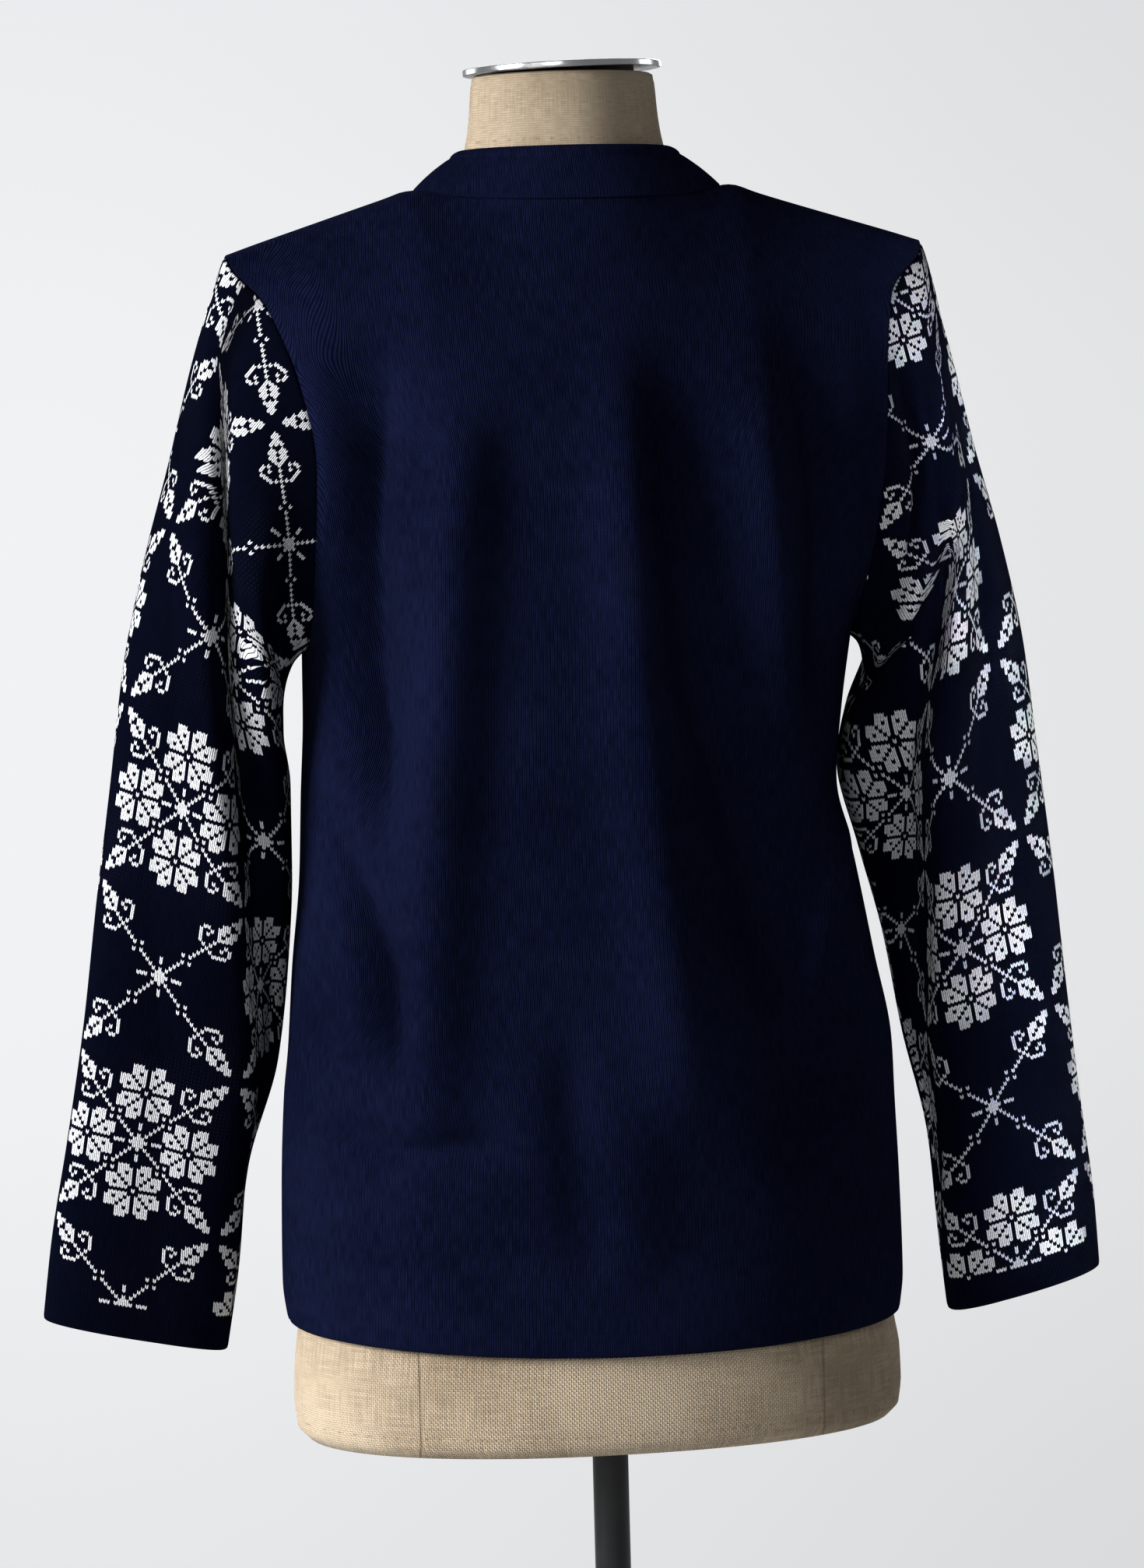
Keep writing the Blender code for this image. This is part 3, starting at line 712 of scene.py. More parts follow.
@dataclass
class Sheet:
    """A cloth's points in rows from its lower edge up, the stitch at each, and its cut laid flat."""

    points: np.ndarray
    stitches: np.ndarray
    flat: tuple[float, float] = (0.0, 0.0)

    @classmethod
    def laid_flat(
        cls,
        points: np.ndarray,
        start: Sequence[float],
        stitch: tuple[float, float],
        first: tuple[float, float] = (0.0, 0.0),
    ) -> "Sheet":
        """Measure the cloth as if it were laid flat again, so that no stitch is stretched.

        Args:
            points: Rows and columns of points.
            start: In each row, the column from which stitches are counted.
            stitch: Width and height of a stitch.
            first: The stitch at the start of that column.

        Returns:
            The sheet with its stitches.
        """
        up = np.linalg.norm(np.diff(points, axis=0), axis=2)
        along = np.vstack([np.zeros(points.shape[1]), np.cumsum(up, axis=0)])
        step = np.linalg.norm(np.diff(points, axis=1), axis=2)
        rise = np.diff(along, axis=1)
        run = np.sqrt(np.maximum(step ** 2 - rise ** 2, (0.35 * step) ** 2))
        across = np.hstack([np.zeros((points.shape[0], 1)), np.cumsum(run, axis=1)])
        columns = np.arange(points.shape[1])
        across = across - np.array([[np.interp(at, columns, row)] for at, row in zip(start, across)])
        stitches = np.stack([across / stitch[0] + first[0], along / stitch[1] + first[1]], axis=2)
        flat = (round(float(np.ptp(across)), 3), round(float(np.ptp(along)), 3))
        return cls(points, stitches, flat)

    @property
    def area(self) -> float:
        """Area of the cloth in square metres."""
        p = self.points
        one = np.cross(p[1:, :-1] - p[:-1, :-1], p[:-1, 1:] - p[:-1, :-1])
        two = np.cross(p[1:, 1:] - p[1:, :-1], p[1:, 1:] - p[:-1, 1:])
        return float(np.linalg.norm(one, axis=2).sum() + np.linalg.norm(two, axis=2).sum()) / 2

    def piece(
        self, name: str, material: bpy.types.Material, closed: bool = False, wall: float = WALL
    ) -> bpy.types.Object:
        """Make the sheet an object with a wall outwards.

        Args:
            name: The piece's name.
            material: Its finish.
            closed: Whether the last column is sewn to the first.
            wall: The cloth's thickness, or 0 for a closed form that needs none.

        Returns:
            The piece.
        """
        rows, columns = self.points.shape[:2]
        mesh = bmesh.new()
        bmesh.ops.create_grid(mesh, x_segments=columns - 1, y_segments=rows - 1, size=0.5)
        layer = mesh.loops.layers.uv.new(STITCH_MAP)
        cells = {}
        for vertex in mesh.verts:
            column = round((vertex.co.x + 0.5) * (columns - 1))
            row = round((vertex.co.y + 0.5) * (rows - 1))
            cells[vertex] = (row, column)
        for face in mesh.faces:
            face.smooth = True
            for loop in face.loops:
                loop[layer].uv = self.stitches[cells[loop.vert]]
        for vertex, cell in cells.items():
            vertex.co = self.points[cell]
        if closed:
            bmesh.ops.remove_doubles(mesh, verts=mesh.verts[:], dist=WELD)
        piece = new_object(name, mesh, material)
        if wall > 0:
            solid = piece.modifiers.new("Wall", "SOLIDIFY")
            solid.thickness = wall
            solid.offset = 1.0
        soften(piece)
        return piece


def new_object(name: str, mesh: bmesh.types.BMesh, material: bpy.types.Material) -> bpy.types.Object:
    """Turn a finished bmesh into an object in the scene.

    Args:
        name: The object's name.
        mesh: Its geometry, which is freed.
        material: Its finish.

    Returns:
        The object, at the origin.
    """
    data = bpy.data.meshes.new(name)
    mesh.to_mesh(data)
    mesh.free()
    data.materials.append(material)
    piece = bpy.data.objects.new(name, data)
    bpy.context.scene.collection.objects.link(piece)
    return piece


def soften(piece: bpy.types.Object, levels: int = 1) -> None:
    """Round a piece with a subdivision surface."""
    finer = piece.modifiers.new("Finer", "SUBSURF")
    finer.levels = levels
    finer.render_levels = levels


def turned(
    name: str, profile: Sequence[tuple[float, float]], material: bpy.types.Material, steps: int
) -> bpy.types.Object:
    """Turn a profile of radius and height about Z.

    Args:
        name: The piece's name.
        profile: Points from the axis at the top to the axis underneath.
        material: Its finish.
        steps: Facets round it.

    Returns:
        The piece.
    """
    mesh = bmesh.new()
    line = [mesh.verts.new((radius, 0.0, height)) for radius, height in profile]
    edges = [mesh.edges.new(pair) for pair in zip(line, line[1:])]
    bmesh.ops.spin(
        mesh, geom=line + edges, axis=(0, 0, 1), cent=(0, 0, 0),
        angle=2 * math.pi, steps=steps, use_merge=True,
    )
    bmesh.ops.remove_doubles(mesh, verts=mesh.verts[:], dist=WELD)
    bmesh.ops.recalc_face_normals(mesh, faces=mesh.faces[:])
    for face in mesh.faces:
        face.smooth = True
    return new_object(name, mesh, material)


def moved(piece: bpy.types.Object, place: Matrix) -> bpy.types.Object:
    """Put a piece in its place in its mesh, so that its object stays at the origin."""
    piece.data.transform(place)
    return piece


def sharpen(piece: bpy.types.Object, degrees: float = 35.0) -> None:
    """Keep a piece's edges crisp above an angle."""
    piece.data.shade_smooth()
    piece.data.set_sharp_from_angle(angle=math.radians(degrees))


@dataclass
class BodyShape:
    """The body's inner skin, from the same sizes as the solids, over the form that it hangs on."""

    form: "FormShape"
    form_room: float = 0.004
    mid_y: float = -0.038
    hem_z: float = 0.855
    hem_dip: float = 0.007
    hem_lean: float = 0.003
    underarm_z: float = 1.246
    tip_z: float = 1.464
    tip_x: float = 0.1975
    tip_y: float = -0.012
    neck_x: float = 0.089
    neck_y: float = -0.040
    neck_back: float = 0.070
    neck_front: float = 0.088
    neck_z: float = 1.500
    neck_drop_back: float = 0.008
    neck_drop_front: float = 0.063
    power: float = 2.3
    arm_reach_back: float = 0.68
    arm_reach_front: float = 0.58
    arm_rise: float = 0.75
    rows: tuple[BodyRow, ...] = (
        BodyRow(0.840, 0.1740, 0.1725, 0.1150, 0.110),
        BodyRow(0.858, 0.1765, 0.1745, 0.1165, 0.112),
        BodyRow(0.875, 0.1785, 0.1765, 0.1180, 0.113),
        BodyRow(0.930, 0.1775, 0.1755, 0.1195, 0.115),
        BodyRow(0.985, 0.1745, 0.1735, 0.1200, 0.116),
        BodyRow(1.010, 0.1715, 0.1730, 0.1180, 0.116),
        BodyRow(1.060, 0.1675, 0.1640, 0.1110, 0.114),
        BodyRow(1.110, 0.1620, 0.1545, 0.1040, 0.112),
        BodyRow(1.160, 0.1595, 0.1440, 0.1000, 0.116),
        BodyRow(1.200, 0.1570, 0.1480, 0.1000, 0.128),
        BodyRow(1.246, 0.1560, 0.1550, 0.1020, 0.141),
        BodyRow(1.290, 0.1545, 0.1620, 0.1040, 0.148),
        BodyRow(1.340, 0.1540, 0.1670, 0.1060, 0.140),
        BodyRow(1.390, 0.1640, 0.1700, 0.1040, 0.123),
        BodyRow(1.430, 0.1780, 0.1760, 0.0970, 0.108),
        BodyRow(1.464, 0.1975, 0.1975, 0.0890, 0.097),
        BodyRow(1.500, 0.1975, 0.1975, 0.0800, 0.090),
    )
    shoulder: tuple[ShoulderPoint, ...] = (
        ShoulderPoint(0.000, 1.5050),
        ShoulderPoint(0.089, 1.5000),
        ShoulderPoint(0.100, 1.4960),
        ShoulderPoint(0.120, 1.4895),
        ShoulderPoint(0.140, 1.4830),
        ShoulderPoint(0.160, 1.4765),
        ShoulderPoint(0.180, 1.4700),
        ShoulderPoint(0.1975, 1.4640),
    )
    back_folds: tuple[Fold, ...] = (
        Fold(
            -0.0380, 0.014,
            ((0.117, 1.455), (0.128, 1.385), (0.134, 1.310), (0.132, 1.240), (0.124, 1.110)),
        ),
        Fold(
            0.0160, 0.018,
            ((0.070, 1.455), (0.077, 1.350), (0.085, 1.240), (0.094, 1.150), (0.102, 1.060), (0.117, 0.900)),
        ),
        Fold(-0.0030, 0.015, ((0.052, 1.440), (0.056, 1.340), (0.061, 1.250), (0.072, 1.090))),
        Fold(
            0.0150, 0.020,
            ((-0.013, 1.465), (-0.013, 1.350), (-0.014, 1.230), (-0.023, 1.110), (-0.040, 0.940)),
        ),
        Fold(
            -0.0180, 0.017,
            (
                (-0.034, 1.450), (-0.041, 1.330), (-0.054, 1.230),
                (-0.079, 1.120), (-0.102, 1.030), (-0.110, 0.900),
            ),
        ),
        Fold(-0.0120, 0.024, ((-0.067, 1.290), (-0.089, 1.150), (-0.109, 1.040), (-0.107, 0.910))),
        Fold(0.0130, 0.014, ((-0.080, 1.450), (-0.088, 1.350), (-0.098, 1.240), (-0.108, 1.160))),
        Fold(-0.0150, 0.013, ((-0.111, 1.465), (-0.125, 1.370), (-0.132, 1.290), (-0.123, 1.170))),
        Fold(0.0170, 0.008, ((-0.170, 1.205), (-0.146, 1.135), (-0.120, 1.080), (-0.104, 0.990)), 1.3),
        Fold(-0.0040, 0.006, ((-0.161, 1.100), (-0.173, 0.990))),
        Fold(-0.0220, 0.009, ((0.166, 1.190), (0.140, 1.112), (0.124, 1.065), (0.116, 0.990)), 1.4),
        Fold(0.0080, 0.010, ((0.164, 1.130), (0.143, 1.065), (0.136, 1.005))),
        Fold(-0.0120, 0.009, ((0.172, 0.984), (0.124, 0.966), (0.054, 0.972))),
        Fold(-0.0080, 0.012, ((0.033, 1.040), (0.027, 0.965), (0.021, 0.880))),
        Fold(0.0050, 0.022, ((-0.001, 1.000), (-0.003, 0.880))),
    )
    front_folds: tuple[Fold, ...] = (
        Fold(0.0060, 0.018, ((0.108, 1.300), (0.102, 1.120), (0.098, 0.930))),
        Fold(-0.0060, 0.014, ((0.072, 1.260), (0.066, 1.080), (0.060, 0.910))),
        Fold(-0.0050, 0.011, ((0.142, 1.230), (0.134, 1.120), (0.128, 1.020))),
        Fold(0.0060, 0.018, ((-0.099, 1.300), (-0.104, 1.120), (-0.110, 0.930))),
        Fold(-0.0060, 0.014, ((-0.064, 1.260), (-0.067, 1.080), (-0.071, 0.920))),
        Fold(-0.0050, 0.011, ((-0.136, 1.230), (-0.138, 1.120), (-0.140, 1.020))),
        Fold(0.0040, 0.013, ((0.136, 1.420), (0.110, 1.350), (0.086, 1.300))),
        Fold(0.0040, 0.013, ((-0.136, 1.420), (-0.108, 1.350), (-0.084, 1.300))),
    )

    def __post_init__(self) -> None:
        """Prepare the tables."""
        self.half_left = smooth_between(self.rows, "z", "left")
        self.half_right = smooth_between(self.rows, "z", "right")
        self.depth_back = smooth_between(self.rows, "z", "back")
        self.depth_front = smooth_between(self.rows, "z", "front")
        self.shoulder_z = smooth_between(self.shoulder, "x", "z")

    def side_x(self, z: float, side: int) -> float:
        """Half width at a height on one side."""
        return self.half_left(z) if side > 0 else self.half_right(z)

    def top_point(self, face: int, x: float) -> tuple[float, float]:
        """Height and depth of the upper edge: the neck seam, then the shoulder seam."""
        if abs(x) < self.neck_x:
            turn = math.sqrt(max(1 - (x / self.neck_x) ** 2, 0.0))
            if face > 0:
                return self.neck_z - self.neck_drop_back * turn, self.neck_y + self.neck_back * turn
            return self.neck_z - self.neck_drop_front * turn ** 1.2, self.neck_y - self.neck_front * turn
        along = (abs(x) - self.neck_x) / (self.tip_x - self.neck_x)
        return self.shoulder_z(abs(x)), self.neck_y + (self.tip_y - self.neck_y) * along

    def depth(self, face: int, z: float) -> float:
        """Depth of the section at a height."""
        return self.depth_back(z) if face > 0 else self.depth_front(z)

    def skin_y(self, face: int, x: float, z: float, half: float) -> float:
        """Depth of the skin at x and z, between side edges that lie at half."""
        z_top, y_top = self.top_point(face, x)
        rise = min(max((z - self.underarm_z) / (z_top - self.underarm_z), 0.0), 1.0)
        reach = self.arm_reach_back if face > 0 else self.arm_reach_front
        edge = reach * math.sqrt(1 - (1 - min(rise / self.arm_rise, 1.0)) ** 2)
        whole = half / (1 - edge ** self.power) ** (1 / self.power)
        inside = max(1 - (abs(x) / whole) ** self.power, 0.0) ** (1 / self.power)
        section = self.mid_y + face * self.depth(face, z) * inside
        if rise == 0:
            return section
        softness = 1 - 0.5 * smoothstep(abs(x), 0.3 * self.neck_x, 1.25 * self.neck_x)
        return y_top + (section - y_top) * max(1 - rise ** 3, 0.0) ** softness

    def row_z(self, face: int, x: float, row: float, half: float) -> float:
        """Height of a row at x: rows 0 to 1 run from hem to underarm, 1 to 2 on to the top."""
        if row <= 1:
            hem = self.hem_z - self.hem_dip * math.cos(math.pi / 2 * x / half) + self.hem_lean * x / half
            return hem + (self.underarm_z - hem) * row
        return self.underarm_z + (self.top_point(face, x)[0] - self.underarm_z) * (row - 1)

    def row_half(self, row: float, side: int) -> float:
        """Where a row ends: on the side seam or on the armhole."""
        if row <= 1:
            return self.side_x(self.hem_z + (self.underarm_z - self.hem_z) * row, side)
        return self.side_x(self.underarm_z + (self.tip_z - self.underarm_z) * (row - 1), side)

    def point(self, face: int, x: float, row: float, raised: float = 0.0) -> Vector:
        """A point of the skin with its folds.

        Args:
            face: 1 on the back, -1 on the front.
            x: Place across the body.
            row: Row number.
            raised: How far the point is moved out.

        Returns:
            The point.
        """
        side = 1 if x >= 0 else -1
        half = self.row_half(row, side)
        z = self.row_z(face, x, row, half)
        y = self.top_point(face, x)[1] if row >= 2 else self.skin_y(face, x, z, half)
        folds = self.back_folds if face > 0 else self.front_folds
        calm = (1 - (abs(x) / half) ** 6) * (1 - smoothstep(row, 1.55, 1.95))
        lift = sum(fold.lift(Vector((x, z))) for fold in folds) * max(calm, 0.0)
        form_y = self.form.skin_y(face, x, z)
        if lift < 0 and form_y is not None:
            room = max(abs(y - form_y) - self.form_room, 0.0) if face * (y - form_y) > 0 else 0.0
            lift = -room * math.tanh(-lift / room) if room > 0.0001 else 0.0
        lift += raised
        out = Vector((x / half ** 2, (y - self.mid_y) / self.depth(face, z) ** 2))
        if out.length > 0:
            out.normalize()
        return Vector((x + out.x * lift, y + out.y * lift, z))


@dataclass
class FormShape:
    """Sections of the dress form."""

    rows: tuple[FormRow, ...] = (
        FormRow(0.7900, 0.1600, 0.0620, -0.1340, 2.2),
        FormRow(0.7915, 0.1690, 0.0690, -0.1410, 2.2),
        FormRow(0.7970, 0.1745, 0.0735, -0.1455, 2.2),
        FormRow(0.8100, 0.1762, 0.0750, -0.1460, 2.2),
        FormRow(0.8300, 0.1757, 0.0748, -0.1455, 2.2),
        FormRow(0.8600, 0.1725, 0.0740, -0.1440, 2.2),
        FormRow(0.9100, 0.1700, 0.0740, -0.1430, 2.2),
        FormRow(0.9500, 0.1660, 0.0720, -0.1420, 2.2),
        FormRow(1.0100, 0.1550, 0.0660, -0.1380, 2.2),
        FormRow(1.0500, 0.1450, 0.0570, -0.1330, 2.2),
        FormRow(1.0900, 0.1330, 0.0470, -0.1270, 2.2),
        FormRow(1.1500, 0.1200, 0.0360, -0.1220, 2.2),
        FormRow(1.2200, 0.1310, 0.0420, -0.1430, 2.2),
        FormRow(1.2600, 0.1370, 0.0470, -0.1610, 2.2),
        FormRow(1.3000, 0.1420, 0.0510, -0.1710, 2.2),
        FormRow(1.3500, 0.1460, 0.0530, -0.1610, 2.2),
        FormRow(1.4000, 0.1530, 0.0480, -0.1440, 2.2),
        FormRow(1.4300, 0.1650, 0.0420, -0.1320, 2.2),
        FormRow(1.4470, 0.1780, 0.0370, -0.1220, 2.2),
        FormRow(1.4580, 0.1840, 0.0330, -0.1170, 2.2),
        FormRow(1.4640, 0.1840, 0.0310, -0.1145, 2.2),
        FormRow(1.4710, 0.1690, 0.0285, -0.1125, 2.2),
        FormRow(1.4780, 0.1470, 0.0260, -0.1100, 2.2),
        FormRow(1.4850, 0.1200, 0.0240, -0.1080, 2.1),
        FormRow(1.4920, 0.0960, 0.0215, -0.1060, 2.1),
        FormRow(1.4980, 0.0800, 0.0190, -0.1045, 2.0),
        FormRow(1.5050, 0.0690, 0.0160, -0.1030, 2.0),
        FormRow(1.5140, 0.0603, 0.0125, -0.1015, 2.0),
        FormRow(1.5250, 0.0565, 0.0105, -0.1005, 2.0),
        FormRow(1.5400, 0.0540, 0.0090, -0.0990, 2.0),
        FormRow(1.5602, 0.0522, 0.0074, -0.0974, 2.0),
        FormRow(1.5633, 0.0515, 0.0067, -0.0967, 2.0),
        FormRow(1.5644, 0.0494, 0.0046, -0.0946, 2.0),
    )

    def __post_init__(self) -> None:
        """Prepare the tables."""
        self.half = smooth_between(self.rows, "z", "half")
        self.back = smooth_between(self.rows, "z", "back")
        self.front = smooth_between(self.rows, "z", "front")
        self.power = smooth_between(self.rows, "z", "power")

    def skin_y(self, face: int, x: float, z: float) -> float | None:
        """Depth of the form's skin at x and z, or None beside it."""
        half, power = self.half(z), self.power(z)
        if abs(x) >= half:
            return None
        inside = (1 - (abs(x) / half) ** power) ** (1 / power)
        return (self.back(z) + self.front(z)) / 2 + face * (self.back(z) - self.front(z)) / 2 * inside

    def middle(self, z: float) -> Vector:
        """Middle of the section at a height."""
        return Vector((0.0, (self.back(z) + self.front(z)) / 2, z))

    def spoke(self, z: float, turn: float) -> Vector:
        """From the middle of a section to its edge; turn 0 is the back."""
        s, c = math.sin(turn), math.cos(turn)
        power = self.power(z)
        size = (abs(s) ** power + abs(c) ** power) ** (-1 / power)
        return Vector((self.half(z) * s * size, (self.back(z) - self.front(z)) / 2 * c * size, 0.0))


@dataclass(frozen=True)
class SleeveDrape:
    """How one sleeve hangs: its creases and dents, and how its stitches run.

    The name of its column in the sleeve table, its sway, and its creases and dents. Then what its
    creases hide, the patch where its knit lies askew, the angle of its middle wale along it, the
    stitch at its cuff there, and the size of a stitch.
    """

    column: str
    sway: float
    folds: tuple[SleeveFold, ...]
    dents: tuple[SleeveDent, ...]
    tuck: tuple[Tuck, ...]
    turned: TurnedKnit
    wale: Path
    first: tuple[float, float]
    stitch: tuple[float, float]

    def lift(self, share: float, turn: float) -> float:
        """How far creases and dents together raise the sleeve at one place."""
        return sum(shape.lift(share, turn) for shape in (*self.folds, *self.dents))


DRAPES = {
    Side.LEFT: SleeveDrape(
        column="x_left",
        sway=-0.0030,
        folds=(
            SleeveFold(
                0.0090, 22,
                ((0.10, 34), (0.19, 60), (0.263, 76), (0.33, 86), (0.446, 97), (0.54, 106)), True,
            ),
            SleeveFold(
                0.0150, 44,
                ((0.42, 98), (0.54, 107), (0.69, 121), (0.81, 134), (0.89, 140), (1.0, 150)), True,
            ),
            SleeveFold(-0.0100, 16, ((0.52, 138), (0.69, 150), (0.81, 164), (1.0, 182))),
            SleeveFold(
                -0.0130, 9,
                ((0.05, 34), (0.104, 60), (0.15, 80), (0.212, 94), (0.30, 105), (0.43, 112), (0.52, 116)),
            ),
            SleeveFold(
                0.0080, 14,
                ((0.121, 102), (0.15, 118), (0.242, 132), (0.354, 138), (0.45, 142), (0.56, 150)),
            ),
            SleeveFold(0.0050, 16, ((0.20, 214), (0.50, 226), (0.82, 234))),
            SleeveFold(-0.0060, 13, ((0.15, 246), (0.45, 252), (0.85, 244))),
            SleeveFold(0.0040, 14, ((0.30, 284), (0.70, 300))),
        ),
        dents=(
            SleeveDent(0.055, 126, 0.050, 18, -0.0120),
            SleeveDent(0.085, 92, 0.030, 18, 0.0040),
            SleeveDent(0.640, 60, 0.050, 26, -0.0020),
            SleeveDent(0.860, 84, 0.060, 30, -0.0022),
        ),
        tuck=(
            Tuck(0.150, 84, 34.0, 8.0),
            Tuck(0.239, 98, 31.0, 7.4),
            Tuck(0.438, 112, 16.0, 4.4),
            Tuck(0.614, 119, 17.0, -3.0),
            Tuck(0.778, 145, 6.0, -7.0),
            Tuck(1.000, 165, 4.0, -8.0),
        ),
        turned=TurnedKnit(
            0.1851, 1.4372, 46.0, 276.0, 40.0, 0.00205, (0.135, 0.185),
            ((0.05, 34), (0.104, 60), (0.15, 80), (0.212, 94)),
        ),
        wale=((0.0, 82), (0.239, 79), (0.442, 74), (0.623, 69), (0.797, 71), (1.0, 77)),
        first=(46.0, -9.2),
        stitch=(0.00215, 0.00223),
    ),
    Side.RIGHT: SleeveDrape(
        column="x_right",
        sway=0.0065,
        folds=(
            SleeveFold(
                0.0120, 20,
                ((0.0, 10), (0.067, 44), (0.104, 56), (0.183, 74), (0.31, 84), (0.371, 92), (0.46, 106)),
                True,
            ),
            SleeveFold(-0.0070, 11, ((0.05, 22), (0.104, 36), (0.183, 52), (0.30, 62), (0.37, 68))),
            SleeveFold(-0.0100, 13, ((0.0, 62), (0.058, 86), (0.085, 112))),
            SleeveFold(
                0.0130, 40,
                ((0.40, 100), (0.50, 111), (0.617, 124), (0.746, 138), (0.871, 148), (1.0, 154)), True,
            ),
            SleeveFold(-0.0100, 16, ((0.46, 134), (0.617, 154), (0.80, 168), (1.0, 182))),
            SleeveFold(0.0050, 16, ((0.20, 214), (0.50, 226), (0.82, 234))),
            SleeveFold(-0.0060, 13, ((0.18, 250), (0.50, 246), (0.84, 250))),
            SleeveFold(0.0040, 14, ((0.34, 288), (0.72, 296))),
        ),
        dents=(
            SleeveDent(0.125, 122, 0.018, 24, 0.0060),
            SleeveDent(0.060, 130, 0.035, 16, -0.0080),
            SleeveDent(0.560, 70, 0.050, 26, -0.0020),
            SleeveDent(0.800, 90, 0.070, 30, -0.0022),
        ),
        tuck=(
            Tuck(0.000, 44, 10.0, 0.0),
            Tuck(0.200, 84, 25.0, 3.0),
            Tuck(0.405, 110, 33.6, 3.9),
            Tuck(0.578, 126, 26.0, -6.0),
            Tuck(0.746, 143, 16.0, -6.0),
            Tuck(1.000, 168, 6.0, -6.0),
        ),
        turned=TurnedKnit(
            -0.1950, 1.3495, 0.0, 230.0, -14.0, 0.00185, (0.135, 0.185),
            ((0.0, 10), (0.067, 44), (0.104, 56), (0.183, 74)),
        ),
        wale=((0.0, 80), (0.25, 90), (0.407, 98), (0.599, 109.5), (0.793, 106.5), (1.0, 99)),
        first=(0.0, -8.4),
        stitch=(0.00215, 0.00234),
    ),
}


